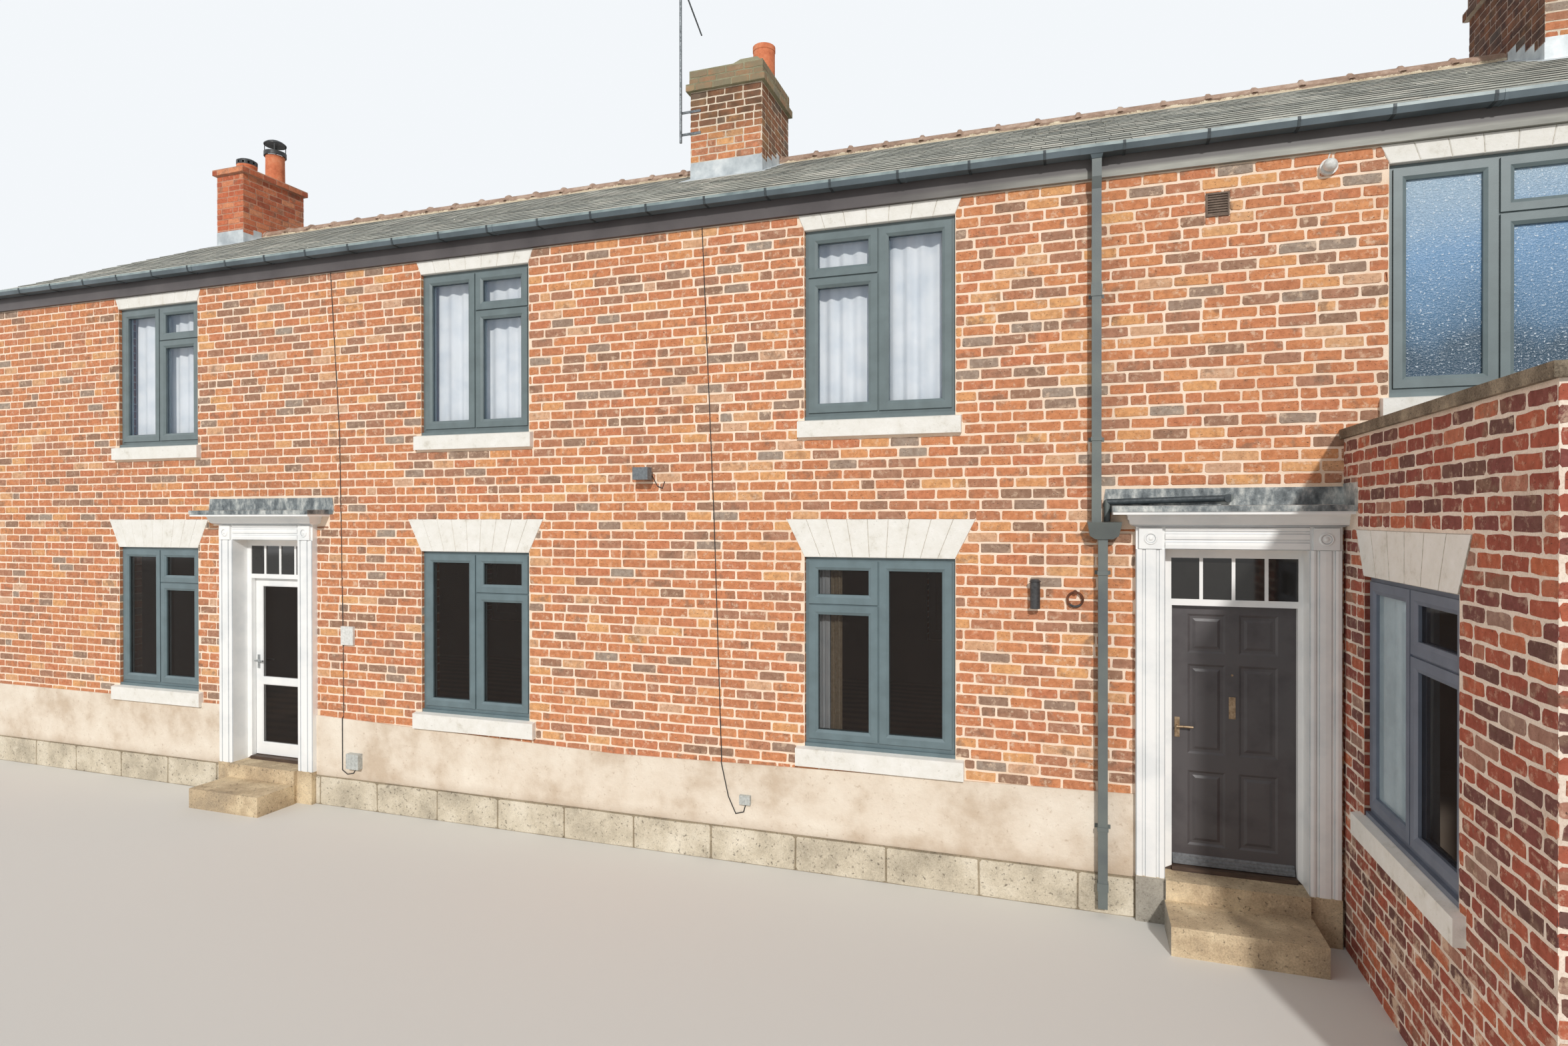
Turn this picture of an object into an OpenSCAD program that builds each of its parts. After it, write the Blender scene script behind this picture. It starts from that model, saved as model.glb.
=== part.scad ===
// A row of two-storey brick houses with a low wing, in millimetres.
// X runs along the street front, with 0 at the party wall under the middle chimney. Y runs into the
// houses from 0 at the front wall's outer face. Z is up from the lowest ground at the walls' foot.

/* [Row] */
// From the middle of the party wall to the left gable's outer face
left_len = 8785; // [8000:1:10600]
// From the middle of the party wall to the right end wall's outer face
right_len = 8785; // [8400:5:10500]
// Depth of the houses from face to face
depth = 6800; // [6000:20:8400]
// Thickness of every brick wall
wall_t = 250; // [220:10:330]
// Height of the slates' upper face over the front wall's outer face
eaves_z = 5800; // [5745:5:7000]
// Rise of the roof for each millimetre it runs back
roof_rise = 0.5; // [0.4:0.01:0.8]
// Thickness of slates, battens and boards, measured plumb
roof_t = 68; // [50:1:120]
// Thickness of the slates alone, measured plumb
slate_t = 20; // [12:1:24]
// How far the slates reach past the wall at the eaves
eaves_over = 85; // [75:5:100]
// How far the slates reach past the left gable
verge_over = 70; // [20:5:120]

/* [Floors and footing] */
// Top of the stone base course
footing_top = 300; // [200:10:320]
// How far the stone base course stands out from the bricks
footing_proud = 30; // [20:1:33]
// Top of the ledge inside the walls that carries the ground floor
ledge_z = 160; // [80:10:190]
// Width of that ledge
ledge_w = 100; // [60:10:200]
// Top of the ground floor
ground_floor_z = 360; // [310:5:372]
// Top of the first floor
first_floor_z = 3150; // [3100:10:3600]
// Thickness of the first floor's boards and joists
first_floor_t = 220; // [150:10:300]
// Top of the render on the wall's foot: left of the left door, at the party wall, at the right door
render_tops = [940, 830, 930];
// Thickness of the render
render_t = 18; // [10:1:24]

/* [Windows] */
// Middle of each window bay along the front
window_x = [-5890, -1560, 2440, 6640];
// Width of a window opening
window_w = 1260; // [1050:10:1520]
// Height of a window opening
window_h = 1600; // [1350:10:1620]
// Top of the ground-floor sills
ground_sill_z = 1054; // [1040:1:1080]
// Height of a ground-floor lintel
ground_lintel_h = 319; // [200:1:330]
// How much wider a ground-floor lintel is at its top, at each side
ground_splay = 160; // [60:5:220]
// Height of an upper lintel, which the fascia caps
upper_lintel_h = 134; // [90:1:136]
// How much wider an upper lintel is at its top, at each side
upper_splay = 55; // [20:5:120]
// How deep a lintel is let into the wall
lintel_depth = 110; // [80:5:160]
// How far lintels stand out from the bricks
lintel_proud = 8; // [0:1:9]
// Height of a ground-floor sill
ground_sill_h = 160; // [100:5:165]
// How far a ground-floor sill runs past the opening at each side
ground_sill_ear = 70; // [0:5:110]
// Height of an upper sill
upper_sill_h = 145; // [90:5:170]
// How far an upper sill runs past the opening at each side
upper_sill_ear = 50; // [0:5:110]
// How far the sills stand out from the bricks
sill_proud = 55; // [35:5:90]
// How far a window's frame is set back from the bricks
frame_set = 22; // [20:1:40]
// Depth of a window's frame
frame_d = 70; // [60:1:90]
// Width that a window's outer frame shows
frame_w = 31; // [20:1:50]
// Height that the foot of a window's outer frame shows
frame_foot = 64; // [40:1:80]
// Height of the lip along that foot
frame_lip = 30; // [10:1:36]
// Gap between two sashes
sash_gap = 14; // [8:1:30]
// Width of the sash round each light
sash_w = 78; // [50:1:90]
// Width and depth of the bevelled bead inside a sash
sash_bead = [24, 12];
// How far a sash stands out from its frame
sash_proud = 14; // [6:1:20]
// From the head of a window down to the middle of its cross bar
transom_drop = 400; // [340:5:560]
// Thickness of the double glazing
glass_t = 24; // [14:1:28]
// How deep the glazing is held in its sash
glass_bite = 12; // [6:1:16]

/* [Doorways] */
// Middle of the left doorway and of the right doorway
door_x = [-4200, 5060];
// Width of a doorway in the wall
doorway_w = 965; // [800:1:1005]
// Top of a doorway in the wall
doorway_top = 2752; // [2700:1:2780]
// Thickness of the boards that line a doorway
lining_t = 21; // [15:1:30]
// How far the jambs are set back from the bricks
jamb_set = 110; // [60:5:110]
// Depth of the jambs
jamb_d = 100; // [96:1:110]
// Width that a jamb shows inside the lining
jamb_show = 47; // [25:1:50]
// How far a leaf and its frame stand to the right of the surround's middle
leaf_shift = 15; // [0:1:20]
// How far the stop covers the leaf's edge
stop_w = 15; // [12:1:20]
// Thickness of the stop
stop_t = 50; // [30:1:50]
// Gap left round a leaf
leaf_gap = 7; // [6.5:0.5:9]
// Thickness of a leaf
leaf_t = 44; // [38:1:44]
// Bottom of a leaf
leaf_z0 = 383; // [380:1:390]
// Underside of the bar over a leaf
transom_z = 2328; // [2300:1:2360]
// Height of the bar over a leaf
transom_h = 60; // [45:1:70]
// Width of the bars between the four panes over a door
fan_bar = 24; // [16:1:32]
// Height of the timber sill under a leaf
door_sill_h = 34; // [20:1:40]

/* [Door surrounds] */
// Width of a pilaster
pilaster_w = 200; // [160:2:202]
// How far a pilaster stands out from the bricks
pilaster_d = 75; // [50:1:76]
// Foot of the pilasters
pilaster_z0 = 335; // [325:5:360]
// Height of the frieze and its corner blocks
frieze_h = 165; // [160:1:190]
// How far the lead hood stands out from the bricks
hood_out = 280; // [275:5:340]
// How far a hood's lead runs past its cornice at each end
hood_over = 4; // [2:1:30]
// Height of a hood's lead at its front edge
hood_front = 42; // [20:1:44]
// Height of a hood's lead where it meets the wall
hood_back = 50; // [48:1:52]
// Height of the lead turned up against the wall
hood_turn = 174; // [100:1:240]

/* [Chimneys] */
// Middle chimney: width, reach before and behind the ridge, height over the ridge to its first step
middle_size = [930, 750, 240, 692];
// Left chimney, measured alike
left_size = [550, 440, 660, 866];
// Right chimney, measured alike
right_size = [800, 800, 730, 804];
// How far the projecting courses stand out
oversail = 45; // [20:1:60]
// Height of one course of bricks with its joint
course = 86; // [70:1:95]
// How much wider a chimney breast is than its stack at each side
breast_extra = 180; // [0:10:300]
// How far under the eaves the breasts end and the stacks start
stack_drop = 600; // [550:10:900]

/* [Wing] */
// Left face of the wing
wing_x = 5744; // [5740:1:5800]
// How far the wing reaches out from the houses
wing_out = 2750; // [2300:10:3600]
// Top of the wing's coping
wing_top = 3595; // [3300:5:3640]
// Thickness of the coping
coping_t = 65; // [40:5:90]
// How far the coping stands out from the wall
coping_over = 28; // [10:1:50]
// Top of the wing's flat roof
wing_roof_z = 3340; // [3200:10:3400]
// Thickness of the wing's flat roof
wing_roof_t = 160; // [100:10:220]
// Middle of the wing's side window, from the houses
wing_window_y = 1150; // [1100:10:1400]
// Width of the wing's side window
wing_window_w = 1416; // [1000:2:1500]
// Sill of the wing's windows
wing_sill_z = 1054; // [900:1:1200]
// Height of the wing's windows
wing_window_h = 1550; // [1200:5:1600]

/* [Rainwater goods] */
// Width of the gutter from rim to rim
gutter_w = 116; // [90:1:120]
// Thickness of the gutter's wall
gutter_t = 4; // [3:0.5:5]
// How far the gutter's rim lies under the slates over the wall's face
gutter_drop = 48; // [44:1:60]
// Height of the fascia board
fascia_h = 191; // [170:1:200]
// Thickness of the fascia board
fascia_t = 40; // [30:1:50]
// Side of the square downpipe
pipe_w = 68; // [60:2:76]
// Wall of the square downpipe
pipe_t = 4; // [3:0.5:6]
// How far the downpipe stands off the bricks
pipe_off = 36; // [35:1:40]
// Middle of the downpipe over its hopper
pipe_x = 4125; // [4115:1:4135]
// Middle of the downpipe under its hopper
pipe_low_x = 4170; // [4150:1:4185]
// Foot of the downpipe
pipe_z0 = 60; // [40:5:150]

/* [Hidden] */
$fn = 32;

// Upper face and underside of the roof over a place on the front half
function slate_z(y) = eaves_z + roof_rise * y;
function under_z(y) = slate_z(y) - roof_t;

ridge_y = depth / 2;
row_x0 = -left_len;
row_x1 = right_len;
first_z0 = first_floor_z - first_floor_t;
stack_z0 = eaves_z - stack_drop;
fascia_z0 = under_z(0) - fascia_h;
upper_sill_z = fascia_z0 - upper_lintel_h - window_h;

// Each stack's left, right, front, back and the top of its shaft
function stack_box(x0, s) = [x0, x0 + s[0], ridge_y - s[1], ridge_y + s[2], slate_z(ridge_y) + s[3]];
middle_stack = stack_box(-middle_size[0] / 2, middle_size);
left_stack = stack_box(row_x0, left_size);
right_stack = stack_box(row_x1 - right_size[0], right_size);
stacks = [left_stack, middle_stack, right_stack];

// Every place where bricks are cut for a window: middle, sill, height, width, the side of its tall
// light, lintel height and splay, sill height and ears
function upper(x, tall) =
    [x, upper_sill_z, window_h, window_w, tall, upper_lintel_h, upper_splay, upper_sill_h, upper_sill_ear];
function ground(x, tall) =
    [x, ground_sill_z, window_h, window_w, tall, ground_lintel_h, ground_splay, ground_sill_h,
     ground_sill_ear];
front_windows = [upper(window_x[0], -1), upper(window_x[1], -1), upper(window_x[2], 1),
                 upper(window_x[3], -1), ground(window_x[0], -1), ground(window_x[1], -1),
                 ground(window_x[2], 1)];
back_windows = [for (x = window_x) each [upper(x, -1), ground(x, -1)]];
// The wing's lintels and sills: lintel height and splay, sill height and ears
wing_trim = [300, 150, 150, 80];
wing_windows = [concat([0, wing_sill_z, wing_window_h, wing_window_w, -1], wing_trim)];

brick = "#b5583f";
stone = "#cfc3ae";
slate = "#6d7472";
upvc = "#47596b";
white = "#e9e9e6";
lead = "#8b929b";
plastic = "#5a6564";

// An outline in Y and Z, run along X
module along_x(x0, x1) translate([x0, 0, 0]) rotate([90, 0, 90]) linear_extrude(x1 - x0) children();

// An outline in X and Z, run along Y
module along_y(y0, y1) translate([0, y1, 0]) rotate([90, 0, 0]) linear_extrude(y1 - y0) children();

// A block between two corners
module block(x0, x1, y0, y1, z0, z1) translate([x0, y0, z0]) cube([x1 - x0, y1 - y0, z1 - z0]);

// A rectangle of left, right, bottom and top, drawn in by some margin and run from y0 to y1
module inset_block(c, by, y0, y1) block(c[0] + by, c[1] - by, y0, y1, c[2] + by, c[3] - by);

// A block whose four sides slope: it has the rectangle at y1 and is wider by some margin at y0
module bevelled(c, by, y0, y1) intersection() {
    along_x(c[0] - by, c[1] + by) polygon([[y0, c[2] - by], [y0, c[3] + by], [y1, c[3]], [y1, c[2]]]);
    translate([0, 0, c[2] - by]) linear_extrude(c[3] - c[2] + 2 * by)
        polygon([[c[0] - by, y0], [c[1] + by, y0], [c[1], y1], [c[0], y1]]);
}

// A round bar between two points
module bar(a, b, d) {
    v = b - a;
    translate(a) rotate([0, acos(v[2] / norm(v)), atan2(v[1], v[0])]) cylinder(d = d, h = norm(v), $fn = 8);
}

// What is drawn for the front wall, turned round to the back wall
module at_back() translate([0, depth, 0]) mirror([0, 1, 0]) children();

// What is drawn for a wall facing -Y, turned to the wing's left wall; x = 0 is the window's middle
module at_wing_side() translate([wing_x, -wing_window_y, 0]) rotate([0, 0, -90]) children();

// What is drawn for a wall facing -Y, moved to the wing's front wall
module at_wing_front() translate([(wing_x + row_x1) / 2, -wing_out, 0]) children();

// What is drawn about a doorway's middle, at both doorways and cut off where it meets the wing
module at_doors() difference() {
    for (x = door_x) translate([x, 0, 0]) children();
    block(wing_x, wing_x + hood_half, -hood_out - 1, 1, 0, hood_z + hood_turn + 1);
}

module both_sides() {
    children();
    mirror([1, 0, 0]) children();
}

// Windows

// The wedge of a lintel, seen from the front
module lintel_outline(w) {
    top = w[1] + w[2] + w[5];
    polygon([[w[0] - w[3] / 2, w[1] + w[2]], [w[0] + w[3] / 2, w[1] + w[2]],
             [w[0] + w[3] / 2 + w[6], top], [w[0] - w[3] / 2 - w[6], top]]);
}

module lintel(w) along_y(-lintel_proud, lintel_depth) lintel_outline(w);

// A sill runs back under its window, and its top slopes to the front
sill_fall = 12;
module sill(w) along_x(w[0] - w[3] / 2 - w[8], w[0] + w[3] / 2 + w[8])
    polygon([[-sill_proud, w[1] - w[7]], [frame_set + frame_d, w[1] - w[7]], [frame_set + frame_d, w[1]],
             [0, w[1]], [-sill_proud, w[1] - sill_fall]]);

// The hole that a window, its lintel and its sill take out of the bricks
module window_hole(w) {
    block(w[0] - w[3] / 2, w[0] + w[3] / 2, -1, wall_t + 1, w[1], w[1] + w[2]);
    along_y(-1, lintel_depth) lintel_outline(w);
    block(w[0] - w[3] / 2 - w[8], w[0] + w[3] / 2 + w[8], -1, frame_set + frame_d, w[1] - w[7], w[1]);
}

// The three lights of a window, as the outlines of their sashes: left, right, bottom, top
function cells(w) =
    let (x0 = w[0] - w[3] / 2 + frame_w, x1 = w[0] + w[3] / 2 - frame_w, z0 = w[1] + frame_foot,
         z1 = w[1] + w[2] - frame_w, bar = w[1] + w[2] - transom_drop, half = sash_gap / 2,
         tall = w[4] < 0 ? [x0, w[0] - half] : [w[0] + half, x1],
         split = w[4] < 0 ? [w[0] + half, x1] : [x0, w[0] - half])
    [[tall[0], tall[1], z0, z1], [split[0], split[1], z0, bar - half], [split[0], split[1], bar + half, z1]];
function inset(c, by) = [c[0] + by, c[1] - by, c[2] + by, c[3] - by];

frame_y1 = frame_set + frame_d;
glass_y = frame_set + (frame_d + sash_proud - glass_t) / 2;

module window_frame(w) difference() {
    union() {
        block(w[0] - w[3] / 2, w[0] + w[3] / 2, frame_set + sash_proud, frame_y1, w[1], w[1] + w[2]);
        block(w[0] - w[3] / 2, w[0] + w[3] / 2, frame_set - sash_proud, frame_y1, w[1], w[1] + frame_lip);
        for (c = cells(w)) inset_block(c, 0, frame_set, frame_y1);
    }
    for (c = cells(w)) {
        inset_block(c, sash_w, frame_set - 1, frame_y1 + 1);
        // The bead slopes 2 mm in for each 1 mm of its depth, from 1 mm before the sash
        bevelled(inset(c, sash_w), sash_bead[0] * (1 + 1 / sash_bead[1]), frame_set - 1,
                 frame_set + sash_bead[1]);
        inset_block(c, sash_w - glass_bite, glass_y, glass_y + glass_t);
    }
}

module window_panes(w) for (c = cells(w)) inset_block(c, sash_w - glass_bite, glass_y, glass_y + glass_t);

// Masonry

module footing_plan(inside) difference() {
    translate([row_x0 - footing_proud, -footing_proud])
        square([row_x1 - row_x0 + 2 * footing_proud, depth + 2 * footing_proud]);
    for (side = [-1, 1]) {
        x0 = side < 0 ? row_x0 + wall_t + inside : wall_t / 2 + inside;
        x1 = side < 0 ? -wall_t / 2 - inside : row_x1 - wall_t - inside;
        translate([x0, wall_t + inside]) square([x1 - x0, depth - 2 * (wall_t + inside)]);
    }
    translate([wing_x, -footing_proud - 1]) square([row_x1 - wing_x + footing_proud + 1, footing_proud + 1]);
}

module stone_footing() color(stone) {
    linear_extrude(ledge_z) footing_plan(ledge_w);
    linear_extrude(footing_top) footing_plan(0);
}

// The ledge inside the wing that carries its floor
module wing_footing() color(stone) linear_extrude(ledge_z) difference() {
    translate([wing_x + wall_t, wall_t - wing_out]) square([row_x1 - wing_x - 2 * wall_t, wing_out - wall_t]);
    translate([wing_x + wall_t + ledge_w, wall_t + ledge_w - wing_out])
        square([row_x1 - wing_x - 2 * (wall_t + ledge_w), wing_out - wall_t - 2 * ledge_w]);
}

module house_floor(z0, z1) {
    block(row_x0 + wall_t, -wall_t / 2, wall_t, depth - wall_t, z0, z1);
    block(wall_t / 2, row_x1 - wall_t, wall_t, depth - wall_t, z0, z1);
}

module ground_floors() color("#a08a6e") {
    house_floor(ledge_z, ground_floor_z);
    block(wing_x + wall_t, row_x1 - wall_t, wall_t - wing_out, 0, ledge_z, ground_floor_z);
}

module first_floors() color("#a9895f") house_floor(first_z0, first_floor_z);

module front_section(z0) polygon([[0, z0], [wall_t, z0], [wall_t, under_z(wall_t)], [0, under_z(0)]]);

module front_piece(x0, x1, z0) difference() {
    along_x(x0, x1) front_section(z0);
    for (w = front_windows) window_hole(w);
}

function door_edge(i, side) = door_x[i] + side * door_wall;

module front_wall_left() color(brick) front_piece(row_x0, door_edge(0, -1), footing_top);
module front_wall_middle() color(brick) front_piece(door_edge(0, 1), door_edge(1, -1), footing_top);
module front_wall_right() color(brick) front_piece(door_edge(1, 1), row_x1, footing_top);
module front_wall_over_doors() color(brick) for (i = [0, 1])
    along_x(door_edge(i, -1), door_edge(i, 1)) front_section(doorway_top);

module back_wall() color(brick) at_back() difference() {
    along_x(row_x0, row_x1) front_section(footing_top);
    for (w = back_windows) window_hole(w);
}

// A wall across the row, up to the underside of the roof
module cross_wall(x0, x1) difference() {
    along_x(x0, x1) polygon([[wall_t, footing_top], [depth - wall_t, footing_top],
                             [depth - wall_t, under_z(wall_t)], [ridge_y, under_z(ridge_y)],
                             [wall_t, under_z(wall_t)]]);
    for (s = stacks) stack_shaft(s);
}

module stack_shaft(s) block(s[0], s[1], s[2], s[3], stack_z0, s[4]);

module left_gable_wall() color(brick) cross_wall(row_x0, row_x0 + wall_t);
module party_wall() color(brick) cross_wall(-wall_t / 2, wall_t / 2);
module right_end_wall() color(brick) cross_wall(row_x1 - wall_t, row_x1);

module breast(x0, x1, s) {
    block(x0, x1, s[2] - breast_extra, s[3] + breast_extra, ground_floor_z, first_z0);
    block(x0, x1, s[2] - breast_extra, s[3] + breast_extra, first_floor_z, stack_z0);
}

module chimney_breasts() color(brick) {
    breast(row_x0 + wall_t, left_stack[1], left_stack);
    breast(middle_stack[0], -wall_t / 2, middle_stack);
    breast(wall_t / 2, middle_stack[1], middle_stack);
    breast(right_stack[0], row_x1 - wall_t, right_stack);
}

// The render's top falls from the left door to the party wall and climbs again to the right door
function render_z(x) = x < door_x[0] ? render_tops[0]
    : x < 0 ? render_tops[1] + (render_tops[0] - render_tops[1]) * x / door_x[0]
    : render_tops[1] + (render_tops[2] - render_tops[1]) * x / door_x[1];

module render_run(x0, x1, between) difference() {
    along_y(-render_t, 0) polygon(concat([[x0, footing_top], [x1, footing_top], [x1, render_z(x1)]],
                                         [for (x = between) [x, render_z(x)]], [[x0, render_z(x0)]]));
    for (w = front_windows) block(w[0] - w[3] / 2 - w[8], w[0] + w[3] / 2 + w[8], -render_t - 1, 1,
                                  w[1] - w[7], w[1]);
}

module wall_render() color("#e3c3ae") {
    render_run(row_x0, door_x[0] - surround_half, []);
    render_run(door_x[0] + surround_half, door_x[1] - surround_half, [0]);
}

module window_lintels() color(white) {
    for (w = front_windows) lintel(w);
    at_back() for (w = back_windows) lintel(w);
    at_wing_side() for (w = wing_windows) lintel(w);
    at_wing_front() for (w = wing_windows) lintel(w);
}

module window_sills() color(white) {
    for (w = front_windows) sill(w);
    at_back() for (w = back_windows) sill(w);
    at_wing_side() for (w = wing_windows) sill(w);
    at_wing_front() for (w = wing_windows) sill(w);
}

module window_frames() color(upvc) {
    for (w = front_windows) window_frame(w);
    at_back() for (w = back_windows) window_frame(w);
    at_wing_side() for (w = wing_windows) window_frame(w);
    at_wing_front() for (w = wing_windows) window_frame(w);
}

module window_glass() color("#9fb8c8", 0.4) {
    for (w = front_windows) window_panes(w);
    at_back() for (w = back_windows) window_panes(w);
    at_wing_side() for (w = wing_windows) window_panes(w);
    at_wing_front() for (w = wing_windows) window_panes(w);
    at_doors() inset_block(fan_hole, -fan_bite, fan_y, fan_y + fan_t);
}

// Curtains

// Where the nets hang behind the windows, how thick their folds are and how far they stay off the
// reveals and the sill
curtain_y = 165;
curtain_t = 36;
curtain_clear = [20, 25];
rod_d = 12;
rod_drop = 40;
net_windows = [front_windows[0], front_windows[1], front_windows[2], front_windows[6]];

module net(w) block(w[0] - w[3] / 2 + curtain_clear[0], w[0] + w[3] / 2 - curtain_clear[0],
                    curtain_y - curtain_t / 2, curtain_y + curtain_t / 2, w[1] + curtain_clear[1],
                    w[1] + w[2] - rod_drop - rod_d / 2);

module rod(w) translate([w[0] - w[3] / 2, curtain_y, w[1] + w[2] - rod_drop]) rotate([0, 90, 0])
    cylinder(d = rod_d, h = w[3], $fn = 12);

module net_curtains() color("#f4f4f2") {
    for (w = net_windows) net(w);
    at_wing_side() for (w = wing_windows) net(w);
}

module curtain_rods() color("#dcdcd8") {
    for (w = net_windows) rod(w);
    at_wing_side() for (w = wing_windows) rod(w);
}

// Roof

// One half of the roof: slates alone out over the gutter, with battens and boards over the wall
module roof_half() along_x(row_x0 - verge_over, row_x1) polygon([
    [-eaves_over, slate_z(-eaves_over)], [-eaves_over, slate_z(-eaves_over) - slate_t],
    [-fascia_t, slate_z(-fascia_t) - slate_t], [-fascia_t, under_z(-fascia_t)],
    [ridge_y, under_z(ridge_y)], [ridge_y, slate_z(ridge_y)]]);

module front_roof() color(slate) difference() {
    roof_half();
    for (s = stacks) stack_shaft(s);
}

module back_roof() color(slate) difference() {
    at_back() roof_half();
    for (s = stacks) stack_shaft(s);
}

// Length of a ridge tile, its half width, the height of its mortar bed and of the tile over that, and
// the roll over its joint
tile_l = 452;
tile_half = 112;
tile_bed = 42;
tile_h = 82;
tile_roll = 12;
roll_l = 40;
ridge_runs = [[left_stack[1], middle_stack[0]], [middle_stack[1], right_stack[0]]];

module ridge_section(grow) {
    a = roof_rise * tile_half;
    translate([ridge_y, slate_z(ridge_y)]) polygon([
        [-tile_half, -a], [0, 0], [tile_half, -a], [tile_half, tile_bed - a],
        [tile_half - 8 + grow, tile_bed - a], [tile_half * 0.75, tile_bed - a + 0.5 * tile_h + grow],
        [tile_half * 0.35, tile_bed - a + 0.9 * tile_h + grow], [0, tile_bed - a + tile_h + grow],
        [-tile_half * 0.35, tile_bed - a + 0.9 * tile_h + grow],
        [-tile_half * 0.75, tile_bed - a + 0.5 * tile_h + grow], [8 - tile_half - grow, tile_bed - a],
        [-tile_half, tile_bed - a]]);
}

module ridge_tiles() color("#b4694c") for (r = ridge_runs) {
    count = round((r[1] - r[0]) / tile_l);
    step = (r[1] - r[0]) / count;
    along_x(r[0], r[1]) ridge_section(0);
    for (i = [0:count - 1]) along_x(r[0] + i * step, r[0] + i * step + roll_l) ridge_section(tile_roll);
}

// Eaves

gutter_y = -fascia_t - gutter_w / 2 - 4;
gutter_rim = eaves_z - gutter_drop;
gutter_x0 = row_x0 - verge_over;
gutter_grip = 3;
gutter_h = 64;
gutter_lip = 22;
gutter_lean = 12;
// The slates' edge, and the gap under them, with the clearance that the gutter's stop ends keep
slate_clear = 3;
slate_tip = -eaves_over - slate_clear;
clip_l = 20;
// Half the length of the outlet over the downpipe, and the throat under it
outlet_half = 115;
throat = [90, 30];
throat_z = gutter_rim - gutter_h - gutter_grip;
clip_step = 560;
// Each union is a pair of ribs over a joint, and takes the place of every seventh clip
union_every = 7;
rib_gap = 54;

module fascia() along_x(row_x0 - verge_over, row_x1)
    polygon([[-fascia_t, fascia_z0], [0, fascia_z0], [0, under_z(0)], [-fascia_t, under_z(-fascia_t)]]);

module fascias() color(plastic) {
    fascia();
    at_back() fascia();
}

// The gutter's outline, grown or drawn in by some margin under its rim
module gutter_outline(grow) translate([gutter_y, gutter_rim]) polygon([
    [-gutter_w / 2 - grow, 0], [-gutter_w / 2 - grow, -gutter_lip],
    [gutter_lean - gutter_w / 2 - grow, -gutter_h - grow],
    [gutter_w / 2 - gutter_lean + grow, -gutter_h - grow], [gutter_w / 2 + grow, -gutter_lip],
    [gutter_w / 2 + grow, 0]]);

module gutter() {
    clips = floor((row_x1 - gutter_x0) / clip_step);
    difference() {
        union() {
            along_x(gutter_x0, row_x1) gutter_outline(0);
            along_x(pipe_x - outlet_half, pipe_x + outlet_half) gutter_outline(gutter_grip);
            hull() {
                square_pipe(pipe_x, gutter_y, throat[0], throat_z, throat_z + 1);
                square_pipe(pipe_x, gutter_y, pipe_w, throat_z - throat[1], throat_z - throat[1] + 1);
            }
            for (i = [1:clips]) {
                x = gutter_x0 + (i - 0.5) * clip_step;
                along_x(x, x + clip_l) gutter_outline(gutter_grip);
                if (i % union_every == 0)
                    along_x(x + rib_gap, x + rib_gap + clip_l) gutter_outline(gutter_grip);
                along_x(x, x + clip_l) polygon([[gutter_y, gutter_rim - gutter_h - gutter_grip],
                    [-fascia_t, gutter_rim - gutter_h - gutter_grip], [-fascia_t, gutter_rim - gutter_lip],
                    [gutter_y, gutter_rim - gutter_lip]]);
            }
        }
        along_x(gutter_x0 + gutter_t, row_x1 - gutter_t) translate([0, 1]) gutter_outline(-gutter_t);
        // Room for the slates over the stop ends
        along_x(gutter_x0 - 1, row_x1 + 1) polygon([
            [slate_tip, slate_z(slate_tip) - slate_t - slate_clear], [slate_tip, eaves_z],
            [0, eaves_z], [0, eaves_z - slate_t - slate_clear]]);
        // The outlet into the downpipe
        translate([pipe_x, gutter_y, throat_z - throat[1] - 1])
            cylinder(d = pipe_w - 10, h = throat[1] + 20);
    }
}

module gutters() color(plastic) {
    gutter();
    at_back() gutter();
}

// Hopper head: left, right and height of its rim, of its shoulder and of its foot
hopper_rim = [4060, 4300, 2951];
hopper_shoulder = [4078, 4280, 2848];
hopper_foot = [4116, 4240, 2823];
// How far the hopper stands out at its rim and at its foot
hopper_out = [172, 116];
// The hopper's open mouth: its wall and its depth
mouth = [12, 20];
pipe_y = -pipe_off - pipe_w / 2;
pipe_top = throat_z - throat[1] - 3;
// The bend out to the gutter: heights under the fascia's foot
bend = [100, 20];
// Sockets, which stand out over the pipe: height, thickness and how far they are proud
socket_h = 60;
socket_proud = 5;
socket_zs = [4667, 190];
// Clips: how wide they reach and how high they are
pipe_ear = 56;
pipe_clip_h = 30;
// Feet of the clips over the hopper, and under it on the bricks and on the render
high_clips = [4640, 3560];
low_clips = [2555, 640];
waste_d = 46;
waste_y = -34;
waste_z = [3101, 3124];
waste_x = [4200, 5017];
elbow_d = 60;

module square_pipe(x, y, w, z0, z1) translate([x, y, z0]) linear_extrude(z1 - z0) square(w, center = true);

// A clip round the pipe, screwed to the wall, whose face is at y1
module pipe_clip(x, z, y1) {
    square_pipe(x, pipe_y, pipe_w + 2 * socket_proud, z, z + pipe_clip_h);
    block(x - pipe_ear, x + pipe_ear, y1 - 6, y1, z, z + pipe_clip_h);
    block(x - 15, x + 15, pipe_y, y1, z, z + pipe_clip_h);
}

module downpipe(x, z0) {
    square_pipe(x, pipe_y, pipe_w, z0, fascia_z0 - bend[0]);
    hull() {
        square_pipe(x, pipe_y, pipe_w, fascia_z0 - bend[0] - 1, fascia_z0 - bend[0]);
        square_pipe(x, gutter_y, pipe_w, fascia_z0 - bend[1], fascia_z0 - bend[1] + 1);
    }
    square_pipe(x, gutter_y, pipe_w, fascia_z0 - bend[1], pipe_top);
}

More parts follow.
